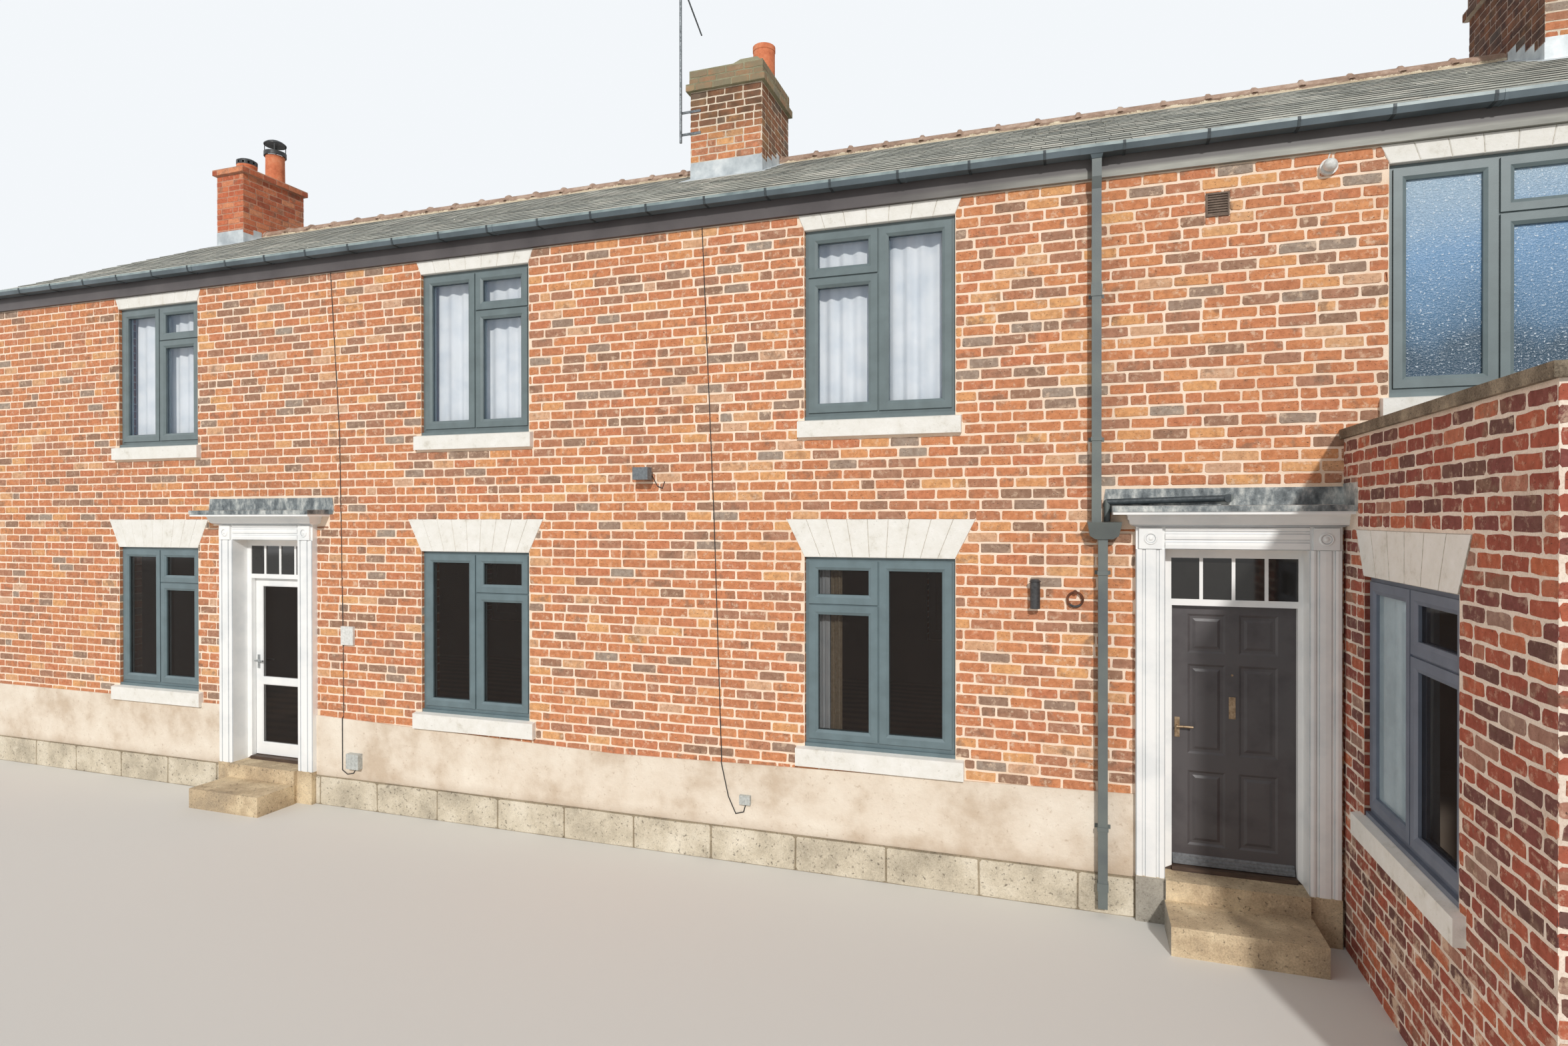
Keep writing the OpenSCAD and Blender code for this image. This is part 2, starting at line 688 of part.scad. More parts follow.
module rainwater_pipes() color(plastic) {
    difference() {
        union() {
            downpipe(pipe_x, hopper_rim[2] - 20);
            square_pipe(pipe_x, pipe_y, pipe_w + 2 * socket_proud, socket_zs[0], socket_zs[0] + socket_h);
            for (z = high_clips) pipe_clip(pipe_x, z, 0);
            // The hopper: a body that narrows down to its shoulder and then to its foot
            intersection() {
                along_y(-hopper_out[0], 0) polygon([
                    [hopper_foot[0], hopper_foot[2]], [hopper_foot[1], hopper_foot[2]],
                    [hopper_shoulder[1], hopper_shoulder[2]], [hopper_rim[1], hopper_rim[2]],
                    [hopper_rim[0], hopper_rim[2]], [hopper_shoulder[0], hopper_shoulder[2]]]);
                along_x(hopper_rim[0], hopper_rim[1]) polygon([
                    [0, hopper_foot[2]], [-hopper_out[1], hopper_foot[2]],
                    [-hopper_out[0], hopper_rim[2]], [0, hopper_rim[2]]]);
            }
            square_pipe(pipe_low_x, pipe_y, pipe_w, pipe_z0, hopper_foot[2] + 1);
            square_pipe(pipe_low_x, pipe_y, pipe_w + 2 * socket_proud, socket_zs[1], socket_zs[1] + socket_h);
            pipe_clip(pipe_low_x, low_clips[0], 0);
            pipe_clip(pipe_low_x, low_clips[1], -render_t);
        }
        square_pipe(pipe_low_x, pipe_y, pipe_w - 2 * pipe_t, pipe_z0 - 1, pipe_z0 + 120);
        // The open mouth of the hopper, beside the pipe that comes down into it
        block(pipe_x + pipe_w / 2 + mouth[0], hopper_rim[1] - mouth[0], -hopper_out[0] + mouth[0], -mouth[0],
              hopper_rim[2] - mouth[1], hopper_rim[2] + 1);
    }
    // The waste pipe out of the wall, along the hood and down into the hopper
    translate([waste_x[0], waste_y, hopper_rim[2] + 3])
        cylinder(d = waste_d, h = waste_z[0] - hopper_rim[2] - 3);
    translate([waste_x[0], waste_y, waste_z[0]]) sphere(d = waste_d, $fn = 16);
    waste_run = [waste_x[1] - waste_x[0], 0, waste_z[1] - waste_z[0]];
    translate([waste_x[0], waste_y, waste_z[0]]) rotate([0, acos(waste_run[2] / norm(waste_run)), 0])
        cylinder(d = waste_d, h = norm(waste_run));
    translate([waste_x[1], waste_y - elbow_d / 2, waste_z[1]]) rotate([-90, 0, 0])
        cylinder(d = elbow_d, h = elbow_d / 2 - waste_y - turn_t);
    at_back() {
        downpipe(pipe_x, pipe_z0);
        pipe_clip(pipe_x, high_clips[0], 0);
        pipe_clip(pipe_x, low_clips[0], 0);
    }
}

// Doorways, each drawn about its own middle

door_wall = doorway_w / 2;
surround_in = door_wall - lining_t;
surround_half = surround_in + pilaster_w;
stop_in = surround_in - jamb_show;
pocket_in = stop_in + stop_w;
leaf_w = 2 * (pocket_in - leaf_gap);
leaf_y = jamb_set + stop_t + 5;
leaf_y1 = leaf_y + leaf_t;
leaf_z1 = transom_z + stop_w - leaf_gap;
jamb_y1 = jamb_set + jamb_d;
step_top = leaf_z0 - leaf_gap - door_sill_h;
frieze_top = doorway_top + frieze_h;

// A butt hinge's pin stands off the leaf's edge and its inner face; its knuckles and its flaps
pin_x = leaf_w / 2 + 2;
pin_y = leaf_y1 + 9;
pin_d = 12;
knuckle_h = 33;
flap_t = 4;
flap_w = 40;
hinge_zs = [560, 1360, 2160];

module knuckle(z) translate([pin_x, pin_y, z]) cylinder(d = pin_d, h = knuckle_h, $fn = 24);

module door_jambs() color(white) at_doors() {
    // The boards that line the bricks, and the jambs with the rebate that the leaf shuts into
    both_sides() block(surround_in, door_wall, 0, jamb_set, step_top, doorway_top);
    difference() {
        block(-door_wall, door_wall, jamb_set, jamb_y1, step_top, transom_z);
        block(leaf_shift - stop_in, leaf_shift + stop_in, jamb_set - 1, jamb_y1 + 1, step_top - 1,
              transom_z + 1);
        block(leaf_shift - pocket_in, leaf_shift + pocket_in, jamb_set + stop_t, jamb_y1 + 1,
              step_top + door_sill_h, transom_z + 1);
    }
    // The timber sill
    block(leaf_shift - stop_in, leaf_shift + stop_in, jamb_set - 20, jamb_y1, step_top,
          step_top + door_sill_h);
    translate([leaf_shift, 0, 0]) for (z = hinge_zs, end = [-1.5 * knuckle_h - 0.5, 0.5 * knuckle_h + 0.5]) {
        knuckle(z + end);
        block(pin_x + 1, pin_x + flap_w, jamb_y1, jamb_y1 + flap_t, z + end, z + end + knuckle_h);
    }
}

// The half of each hinge that turns with a leaf
module leaf_hinges() for (z = hinge_zs) {
    knuckle(z - knuckle_h / 2);
    block(pin_x - flap_w, pin_x, leaf_y1, leaf_y1 + flap_t, z - knuckle_h / 2, z + knuckle_h / 2);
}

// Four panes over the door, in a frame that fills the doorway: how far they run past the jambs, and
// how far under the doorway's top they end
fan_edge = 4;
fan_head = 68;
fan_hole = [leaf_shift - stop_in - fan_edge, leaf_shift + stop_in + fan_edge, transom_z + transom_h - 12,
            doorway_top - fan_head];
fan_w = (fan_hole[1] - fan_hole[0] - 3 * fan_bar) / 4;
fan_y = jamb_set + 10;
fan_t = 8;
fan_bite = 8;

module fanlights() color(white) at_doors() difference() {
    block(-door_wall, door_wall, jamb_set, jamb_y1, transom_z, doorway_top);
    block(leaf_shift - pocket_in, leaf_shift + pocket_in, jamb_set + stop_t, jamb_y1 + 1, transom_z - 1,
          transom_z + stop_w);
    for (i = [0:3]) {
        x0 = fan_hole[0] + i * (fan_w + fan_bar);
        block(x0, x0 + fan_w, jamb_set - 1, jamb_y1 + 1, fan_hole[2], fan_hole[3]);
    }
    inset_block(fan_hole, -fan_bite, fan_y, fan_y + fan_t);
}

// A moulded board's edge: two round grooves, a and b from one edge, between slightly swelled bands.
// Each point is how far across the board it is, and how far under its face.
function reeds(w, a, b) = [
    [0, 10], [6, 3], [a / 2, 0], [a - 12, 2], [a - 8, 9], [a, 12], [a + 8, 9], [a + 12, 2],
    [(a + b) / 2, 0], [b - 12, 2], [b - 8, 9], [b, 12], [b + 8, 9], [b + 12, 2], [(b + w) / 2, 0],
    [w - 6, 3], [w, 10]];
pilaster_reeds = reeds(pilaster_w, 50, 144);
frieze_reeds = reeds(frieze_h, 41, 102);

module pilaster() translate([surround_in, 0, pilaster_z0]) linear_extrude(doorway_top - pilaster_z0)
    polygon(concat([[pilaster_w, 0], [0, 0]], [for (p = pilaster_reeds) [p[0], p[1] - pilaster_d]]));

module door_pilasters() color(white) at_doors() both_sides() pilaster();

// Corner block: its square, its roundel and how far it stands out over the boards behind it
corner_w = 158;
corner_h = 153;
corner_out = 8;
corner_backing = 15;
roundel = [[0, -5], [0, 10], [9, 9], [15, 4], [20, 2], [29, 2], [34, 7], [40, 8], [46, 4], [46, -5]];

module corner_block() translate([surround_in + pilaster_w / 2, 0, doorway_top + 3]) {
    block(-corner_w / 2, corner_w / 2, -pilaster_d - corner_out, 0, 0, corner_h);
    translate([0, -pilaster_d - corner_out, corner_h / 2]) rotate([90, 0, 0])
        rotate_extrude($fn = 24) polygon(roundel);
}

// The cornice from the frieze up: height, reach from the wall, how far it runs past the pilasters
cornice = [[0, 80, 6], [8, 92, 14], [8, 112, 28], [16, 128, 40], [28, 139, 47], [50, 144, 51], [50, 152, 59],
           [74, 154, 60], [89, 168, 68], [89, 272, 165.5], [109, 272, 165.5]];
hood_z = frieze_top + cornice[len(cornice) - 1][0];
hood_half = surround_half + cornice[len(cornice) - 1][2] + hood_over;

// One strip of the cornice, mitred at its two ends
module cornice_strip(a, b) intersection() {
    half_a = surround_half + a[2];
    half_b = surround_half + b[2];
    along_x(-half_b, half_b) polygon([[0, frieze_top + a[0]], [-a[1], frieze_top + a[0]],
                                      [-b[1], frieze_top + b[0]], [0, frieze_top + b[0]]]);
    along_y(-b[1], 0) polygon([[-half_a, frieze_top + a[0]], [half_a, frieze_top + a[0]],
                               [half_b, frieze_top + b[0]], [-half_b, frieze_top + b[0]]]);
}

module door_entablatures() color(white) at_doors() {
    block(-surround_half, surround_half, corner_backing - pilaster_d, 0, doorway_top, frieze_top);
    along_x(-surround_in, surround_in) polygon(concat([[0, frieze_top], [0, doorway_top]],
        [for (i = [len(frieze_reeds) - 1:-1:0]) [frieze_reeds[i][1] - pilaster_d,
                                                frieze_top - frieze_reeds[i][0]]]));
    both_sides() corner_block();
    for (i = [1:len(cornice) - 1]) if (cornice[i][0] > cornice[i - 1][0])
        cornice_strip(cornice[i - 1], cornice[i]);
}

// Lead over the hood, and the lead turned up on the wall over it
turn_t = 8;
turn_half = hood_half + 56;
turn_corner = 18;
// Top of the lead turned up on the wing's wall, over the hood's underside
turn_wing = 194;
module door_hoods() color(lead) {
    // Where the right hood ends against the wing, its lead is turned up on that wall too
    block(wing_x - turn_t, wing_x, -hood_out - 25, -turn_t, hood_z, hood_z + turn_wing);
    hood_lead();
}

module hood_lead() at_doors() {
    back_z = hood_z + hood_back;
    along_x(-hood_half, hood_half)
        polygon([[0, hood_z], [-hood_out, hood_z], [-hood_out, hood_z + hood_front], [0, back_z]]);
    along_y(-turn_t, 0) polygon([
        [-turn_half + turn_corner, hood_z], [turn_half - turn_corner, hood_z], [turn_half, back_z],
        [turn_half - turn_corner, hood_z + hood_turn], [turn_corner - turn_half, hood_z + hood_turn],
        [-turn_half, back_z]]);
}

// The threshold runs back through the wall over the footing; a lower step lies before it, and a stone
// block stands under each pilaster
step_out = 120;
step_low_out = 550;
step_low_top = 200;
step_low_half = surround_in + 8.5;
plinth_out = 80;

module door_steps() color(stone) at_doors() {
    block(-surround_in, surround_in, -step_out, -footing_proud, 0, step_top);
    block(-surround_in, surround_in, -step_out, 0, footing_top, step_top);
    block(-door_wall, door_wall, 0, wall_t, footing_top, step_top);
    block(-step_low_half, step_low_half, -step_low_out, -step_out, 0, step_low_top);
    both_sides() {
        block(surround_in, surround_half, -plinth_out, -footing_proud, 0, pilaster_z0);
        block(surround_in, surround_half, -plinth_out, 0, footing_top, pilaster_z0);
    }
}

// A leaf, drawn about its own middle
module plain_leaf() block(-leaf_w / 2, leaf_w / 2, leaf_y, leaf_y1, leaf_z0, leaf_z1);

// What is drawn on a leaf's outer face, and its mirror on the inner face
module both_faces() {
    children();
    translate([0, leaf_y + leaf_y1, 0]) mirror([0, 1, 0]) children();
}

// Sunk panels of the right door with raised fields, two in each row; sizes of the mouldings
panel_w = 255;
panel_mid = 90;
panel_rows = [[524, 1083], [1211, 1884], [1967, 2261]];
panel_depth = 10;
panel_slope = 16;
field_in = [34, 20];
field_under = 2;
panels = [for (r = panel_rows) [panel_mid / 2, panel_mid / 2 + panel_w, r[0], r[1]]];

module sunk_panel(c) bevelled(inset(c, panel_slope), panel_slope * (1 + 1 / panel_depth), leaf_y - 1,
                              leaf_y + panel_depth);

module raised_field(c) bevelled(inset(c, field_in[0] + field_in[1]), field_in[1], leaf_y + panel_depth,
                                leaf_y + field_under);

// The bar that throws rain off the foot of the door
weather_bar_half = stop_in - 9.5;
weather_bar = [[0, 383], [-35, 383], [-35, 399], [-26, 405], [-26, 417], [-12, 428], [-12, 440], [0, 452]];

module right_door_leaf() color("#2c2825") translate([door_x[1] + leaf_shift, 0, 0]) {
    difference() {
        plain_leaf();
        both_faces() both_sides() for (c = panels) sunk_panel(c);
    }
    both_faces() both_sides() for (c = panels) raised_field(c);
    along_x(-weather_bar_half, weather_bar_half)
        polygon([for (p = weather_bar) [leaf_y + p[0], p[1]]]);
}

plate_x = 50 - leaf_w / 2;
plate_w = 35;
plate_z = [1330, 1480];
lever_z = 1417;
lever_l = 115;
lever_out = 45;

// A lever on its plate, on the outer face
module lever() {
    block(plate_x - plate_w / 2, plate_x + plate_w / 2, leaf_y - 6, leaf_y, plate_z[0], plate_z[1]);
    translate([plate_x, leaf_y, lever_z]) rotate([90, 0, 0]) cylinder(d = 18, h = lever_out, $fn = 16);
    translate([plate_x - 9, leaf_y - lever_out, lever_z]) rotate([0, 90, 0])
        cylinder(d = 18, h = lever_l, $fn = 16);
}

// Letter plate on the middle stile: half its width, bottom, top; its flap; the spyhole over it
letter_half = 22;
letter_z = [1490, 1652];
spy_z = 1814;

module right_door_fittings() color("#b08a57") translate([door_x[1] + leaf_shift, 0, 0]) {
    both_faces() lever();
    leaf_hinges();
    block(-letter_half, letter_half, leaf_y - 6, leaf_y, letter_z[0], letter_z[1]);
    block(8 - letter_half, letter_half - 8, leaf_y - 10, leaf_y, letter_z[0] + 14, letter_z[1] - 14);
    translate([0, leaf_y, spy_z]) rotate([90, 0, 0]) cylinder(d = 16, h = 5, $fn = 16);
}

// The left door is glazed over and under its middle rail
glazed_edge = 105;
glazed_rows = [[520, 1150], [1240, 2235]];
glazed_bite = 10;
glazed = [for (r = glazed_rows) [-leaf_w / 2 + glazed_edge, leaf_w / 2 - glazed_edge, r[0], r[1]]];
door_glass_y = leaf_y + 12;
door_glass_t = 20;

module left_door_leaf() color(white) translate([door_x[0] + leaf_shift, 0, 0]) difference() {
    plain_leaf();
    for (c = glazed) {
        inset_block(c, 0, leaf_y - 1, leaf_y1 + 1);
        inset_block(c, -glazed_bite, door_glass_y, door_glass_y + door_glass_t);
    }
    both_faces() for (c = glazed) bevelled(c, 9, leaf_y - 1, leaf_y + 8);
}

module left_door_glass() color("#9fb8c8", 0.4) translate([door_x[0] + leaf_shift, 0, 0])
    for (c = glazed) inset_block(c, -glazed_bite, door_glass_y, door_glass_y + door_glass_t);

module left_door_fittings() color("#c9c9c6") translate([door_x[0] + leaf_shift, 0, 0]) {
    both_faces() lever();
    leaf_hinges();
}

// Chimneys

// How far each projecting course of a stack stands out, in parts of the oversail
middle_steps = [1, 0.25, 0.25];
left_steps = [1];
right_steps = [1, 0.25, 0.25];
mortar_h = 50;
mortar_in = 60;
mortar_slope = 90;
function stack_top(s, steps) = s[4] + len(steps) * course;
tops = [stack_top(left_stack, left_steps), stack_top(middle_stack, middle_steps),
        stack_top(right_stack, right_steps)];

// Mortar that slopes up round the pots
module mortar(x0, x1, y0, y1, z, h) intersection() {
    along_x(x0, x1) polygon([[y0, z], [y1, z], [y1 - mortar_slope, z + h], [y0 + mortar_slope, z + h]]);
    along_y(y0, y1) polygon([[x0, z], [x1, z], [x1 - mortar_slope, z + h], [x0 + mortar_slope, z + h]]);
}

// A shaft with its projecting courses
module stack(s, steps) {
    stack_shaft(s);
    for (i = [0:len(steps) - 1])
        block(s[0] - steps[i] * oversail, s[1] + steps[i] * oversail, s[2] - steps[i] * oversail,
              s[3] + steps[i] * oversail, s[4] + i * course, s[4] + (i + 1) * course);
}

module chimney_stacks() color(brick) {
    stack(left_stack, left_steps);
    stack(middle_stack, middle_steps);
    stack(right_stack, right_steps);
    difference() {
        union() {
            for (i = [0:2]) mortar(stacks[i][0] + mortar_in, stacks[i][1] - mortar_in,
                                   stacks[i][2] + mortar_in, stacks[i][3] - mortar_in, tops[i], mortar_h);
            // The hump over the worn bricks at the middle chimney's right end
            mortar(60, middle_stack[1] - 10, middle_stack[2] + 10, middle_stack[3] - 10, tops[1],
                   2 * mortar_h);
        }
        for (p = pots) translate([p[0], p[1], p[2] - 0.5]) cylinder(d = p[3] + 2, h = 300, $fn = 40);
    }
}

// Chimney pots: middle x, middle y, foot, diameter at the foot, diameter at the top, height, and how
// far and how high the rim stands out
pots = [[228, ridge_y - 20, tops[1], 278, 278, 545, 6, 60],
        [row_x0 + 275, ridge_y - 150, tops[0], 290, 280, 150, 6, 30],
        [row_x0 + 275, ridge_y + 360, tops[0], 290, 280, 500, 4, 30],
        [row_x1 - 400, ridge_y - 400, tops[2], 300, 250, 450, 14, 50],
        [row_x1 - 400, ridge_y + 300, tops[2], 300, 250, 450, 14, 50]];
pot_wall = 25;

module pot(p) translate([p[0], p[1], p[2]]) rotate_extrude($fn = 40)
    polygon([[p[3] / 2 - pot_wall, 0], [p[3] / 2, 0], [p[4] / 2, p[5] - p[7] - 8],
             [p[4] / 2 + p[6], p[5] - p[7]], [p[4] / 2 + p[6], p[5]], [p[4] / 2 - pot_wall, p[5]]]);

module chimney_pots() color("#c06f4b") for (p = pots) pot(p);

// The low slotted cap on the left chimney's front pot
module cap(p) translate([p[0], p[1], p[2] + p[5]]) {
    difference() {
        cylinder(d = p[4] + 16, h = 70, $fn = 32);
        translate([0, 0, -1]) cylinder(d = p[4] - 20, h = 60, $fn = 32);
        for (a = [0:30:150]) rotate([0, 0, a]) block(-200, 200, -14, 14, 14, 46);
    }
    translate([0, 0, 69]) cylinder(d1 = p[4] + 16, d2 = p[4] - 60, h = 24, $fn = 32);
}

// The collar and the domed hat on legs over the left chimney's back pot
hat_d = 333;
collar_h = 70;
hat_z = 190;
module hat(p) translate([p[0], p[1], p[2] + p[5]]) {
    difference() {
        cylinder(d = hat_d, h = collar_h);
        translate([0, 0, -1]) cylinder(d = hat_d - 24, h = collar_h - 10);
        translate([0, 0, -1]) cylinder(d = p[4] - 20, h = collar_h + 2);
    }
    for (a = [45:90:315]) rotate([0, 0, a])
        block(hat_d / 2 - 22, hat_d / 2 - 10, -8, 8, collar_h - 1, hat_z + 1);
    translate([0, 0, hat_z]) rotate_extrude()
        polygon([[0, 20], [hat_d / 2 - 8, 0], [hat_d / 2, 0], [hat_d / 2, 16], [130, 46], [80, 70], [0, 82]]);
}

module chimney_cowls() color("#2b2b2c") {
    cap(pots[1]);
    hat(pots[2]);
}

// Lead at the foot of each stack: a sheet on the slates, an apron up the front face and a side that
// climbs by courses
flash_t = 5;
flash_out = [90, 160];
apron_h = 200;
side_h = 70;

module slate_sheet(s) difference() {
    intersection() {
        block(max(s[0] - flash_out[0], row_x0), min(s[1] + flash_out[0], row_x1), s[2] - flash_out[1],
              s[3] + flash_out[0], 0, s[4]);
        along_x(row_x0, row_x1) polygon([
            [0, slate_z(0)], [ridge_y, slate_z(ridge_y)], [depth, slate_z(0)],
            [depth, slate_z(0) + flash_t], [ridge_y, slate_z(ridge_y) + flash_t], [0, slate_z(0) + flash_t]]);
    }
    stack_shaft(s);
    for (r = ridge_runs) along_x(r[0], r[1]) ridge_section(0);
}

// Up one side face, from the stack's front to the ridge tiles
module side_flashing(s, x0) {
    y1 = ridge_y - tile_half - tile_roll;
    run = course / roof_rise;
    n = ceil((y1 - s[2]) / run);
    along_x(x0, x0 + flash_t) polygon(concat(
        [[s[2] - flash_t, slate_z(s[2] - flash_t)], [y1, slate_z(y1)]],
        [for (i = [n:-1:1]) each [[min(s[2] + i * run, y1), slate_z(s[2]) + i * course + side_h],
                                  [s[2] + (i - 1) * run - (i == 1 ? flash_t : 0),
                                   slate_z(s[2]) + i * course + side_h]]]));
}

module chimney_flashings() color(lead) {
    for (s = stacks) {
        slate_sheet(s);
        along_x(s[0], s[1]) polygon([
            [s[2] - flash_t, slate_z(s[2] - flash_t)], [s[2], slate_z(s[2])],
            [s[2], slate_z(s[2]) + apron_h], [s[2] - flash_t, slate_z(s[2]) + apron_h]]);
    }
    side_flashing(left_stack, left_stack[1]);
    side_flashing(middle_stack, middle_stack[0] - flash_t);
    side_flashing(middle_stack, middle_stack[1]);
    side_flashing(right_stack, right_stack[0] - flash_t);
}

// The aerial: its mast at the middle chimney's front left corner, held by two straps; heights over
// the slates at the ridge
mast_x = middle_stack[0] - 125;
mast_y = middle_stack[2] - 20;
mast_d = 32;
mast_zs = [88, 2200];
strap_zs = [190, 458];
strap_reach = [135, 200];
strap_t = 8;
boom_z = 2100;
boom_d = 22;
boom = [-1226, 774];
boom_turn = -78;
// The cross rods: first, spacing and last along the boom, and their length
rods = [-200, 118, 750];
rod_l = 300;

module tv_aerial() color("#6f7376") translate([0, 0, slate_z(ridge_y)]) {
    translate([mast_x, mast_y, mast_zs[0]]) cylinder(d = mast_d, h = mast_zs[1] - mast_zs[0], $fn = 16);
    for (z = strap_zs) {
        block(mast_x - 24, middle_stack[0] + strap_reach[0], middle_stack[2] - strap_t, middle_stack[2],
              z - 15, z + 15);
        block(middle_stack[0] - strap_t, middle_stack[0], middle_stack[2] - strap_t,
              middle_stack[2] + strap_reach[1], z - 15, z + 15);
    }
    translate([mast_x, mast_y, boom_z]) rotate([0, 0, boom_turn]) {
        bar([boom[0], 0, 0], [boom[1], 0, 0], boom_d);
        for (x = [rods[0]:rods[1]:rods[2]]) bar([x, -rod_l / 2, 0], [x, rod_l / 2, 0], 9);
    }
}

// Wing

wing_wall_top = wing_top - coping_t;

module wing_left_wall() color(brick) difference() {
    block(wing_x, wing_x + wall_t, -wing_out, 0, 0, wing_wall_top);
    at_wing_side() for (w = wing_windows) window_hole(w);
}

module wing_front_wall() color(brick) difference() {
    block(wing_x + wall_t, row_x1 - wall_t, -wing_out, wall_t - wing_out, 0, wing_wall_top);
    at_wing_front() for (w = wing_windows) window_hole(w);
}

module wing_right_wall() color(brick) block(row_x1 - wall_t, row_x1, -wing_out, 0, 0, wing_wall_top);

module wing_roof() color("#55585a")
    block(wing_x + wall_t, row_x1 - wall_t, wall_t - wing_out, 0, wing_roof_z - wing_roof_t, wing_roof_z);

module wing_coping() color("#8d8578") difference() {
    block(wing_x - coping_over, row_x1, -wing_out - coping_over, 0, wing_wall_top, wing_top);
    block(wing_x + wall_t + coping_over, row_x1 - wall_t - coping_over, wall_t + coping_over - wing_out, 1,
          wing_wall_top - 1, wing_top + 1);
}

// Things fixed to the front wall, each where it is seen: left, right, bottom, top

plate_box = [-3199, -3038, 1678, 1869];
meter_box = [-3086, -2928, 417, 572];
small_box = [1231, 1331, 510, 590];
vent_box = [4873, 5027, 5171, 5342];
vent_slats = 8;
flood = [255, 405, 3325, 3435];
lamp_x = 3683;
lamp_z = [2286, 2495];
lamp_d = 75;
ring_x = 3974;
ring_z = 2416;
ring_d = 109;
sensor_x = 5645;
sensor_z = 5429;
sensor_d = 112;
sensor_ball = 88;
eye_d = 30;
eye_out = 38;
lamp_out = 68;

// A drawn-in frame with slats that slope down and out
module vent() {
    difference() {
        inset_block(vent_box, 0, -14, 0);
        inset_block(vent_box, 12, -15, -3);
    }
    slat = (vent_box[3] - vent_box[2] - 24) / vent_slats;
    for (i = [0:vent_slats - 1]) {
        z = vent_box[2] + 12 + i * slat;
        along_x(vent_box[0] + 12, vent_box[1] - 12)
            polygon([[-13, z + 1], [-13, z + 5], [-3, z + slat - 1], [-3, z + slat - 5]]);
    }
}

module wall_fittings() color("#4a4d50") {
    inset_block(flood, 0, -150, -70);
    block(flood[0] + 55, flood[1] - 55, -71, 0, flood[2] + 30, flood[3] - 20);
    // Round lamp on its bracket
    translate([lamp_x, -lamp_out, lamp_z[0]]) cylinder(d = lamp_d, h = lamp_z[1] - lamp_z[0]);
    translate([lamp_x, -lamp_out, lamp_z[1] - 1]) cylinder(d1 = lamp_d + 16, d2 = lamp_d - 20, h = 18);
    block(lamp_x - 25, lamp_x + 25, -40, 0, lamp_z[0] + 60, lamp_z[1] - 50);
    // Ring on an eye
    translate([ring_x, -24, ring_z - ring_d / 2]) rotate([90, 0, 0])
        rotate_extrude($fn = 24) translate([ring_d / 2, 0]) circle(d = 18, $fn = 10);
    translate([ring_x, 0, ring_z]) rotate([90, 0, 0]) cylinder(d = eye_d, h = eye_out, $fn = 16);
    vent();
    // Sensor: a round base and a ball
    translate([sensor_x, 0, sensor_z]) rotate([90, 0, 0]) cylinder(d = sensor_d, h = 30);
    translate([sensor_x, -62, sensor_z]) sphere(d = sensor_ball, $fn = 20);
    inset_block(plate_box, 0, -30, 0);
    inset_block(meter_box, 0, -render_t - 60, -render_t);
    inset_block(small_box, 0, -render_t - 34, -render_t);
}

// Cables, each a run of points in X and Z clipped to the wall; under its step the render carries it
cable_d = 9;
cable_off = cable_d / 2 + 0.2;
cable_bend = 24;
// How far a cable's end stays off what it runs to
cable_gap = 5;
function on_wall(p) = [p[0], -cable_off, p[1]];
function on_render(p) = [p[0], -render_t - cable_off, p[1]];
left_drop = [for (p = [[-3345, fascia_z0 - cable_gap], [-3230, 3855], [-3194, plate_box[3] + cable_gap]])
             on_wall(p)];
left_feed = concat([for (p = [[-3190, plate_box[2] - cable_gap], [-3187, render_z(-3187) + cable_bend]])
                        on_wall(p)],
                   [for (p = [[-3187, render_z(-3187) + 4], [-3186, 383], [-3120, 345], [-3040, 362],
                              [-3007, meter_box[2] - cable_gap]]) on_render(p)]);
middle_drop = concat([for (p = [[870, fascia_z0 - cable_gap], [981, 2968],
                                [1049, render_z(1049) + cable_bend]])
                          on_wall(p)],
                     [for (p = [[1052, render_z(1049) + 4], [1120, 560], [1189, 418], [1262, 440],
                                [1281, small_box[2] - cable_gap]]) on_render(p)]);
flood_loop = [for (p = [[375, flood[2] + 40], [430, 3270], [480, 3250], [500, 3310]]) on_wall(p)];
sensor_lead = [for (p = [[sensor_x, sensor_z + sensor_d / 2 + cable_gap],
                         [sensor_x + 14, fascia_z0 - cable_gap]]) on_wall(p)];

// One run of cable: a tube of eight sides, mitred at each of its points
module cable(points) {
    last = len(points) - 1;
    ways = [for (i = [1:last]) (points[i] - points[i - 1]) / norm(points[i] - points[i - 1])];
    rings = [for (i = [0:last])
        let (a = ways[max(i - 1, 0)], b = ways[min(i, last - 1)], m = (a + b) / norm(a + b),
             side = [m[2], 0, -m[0]] / norm([m[0], m[2]]) / (a * m))
        for (turn = [0:45:315]) points[i] + cable_d / 2 * (cos(turn) * side + sin(turn) * [0, 1, 0])];
    polyhedron(rings, concat(
        [[for (j = [0:7]) j], [for (j = [7:-1:0]) 8 * last + j]],
        [for (i = [0:last - 1], j = [0:7], half = [0, 1]) let (a = 8 * i + j, b = 8 * i + (j + 1) % 8)
            half == 0 ? [a, a + 8, b + 8] : [a, b + 8, b]]));
}

module wall_cables() color("#2a2a2c") for (c = [left_drop, left_feed, middle_drop, flood_loop, sensor_lead])
    cable(c);

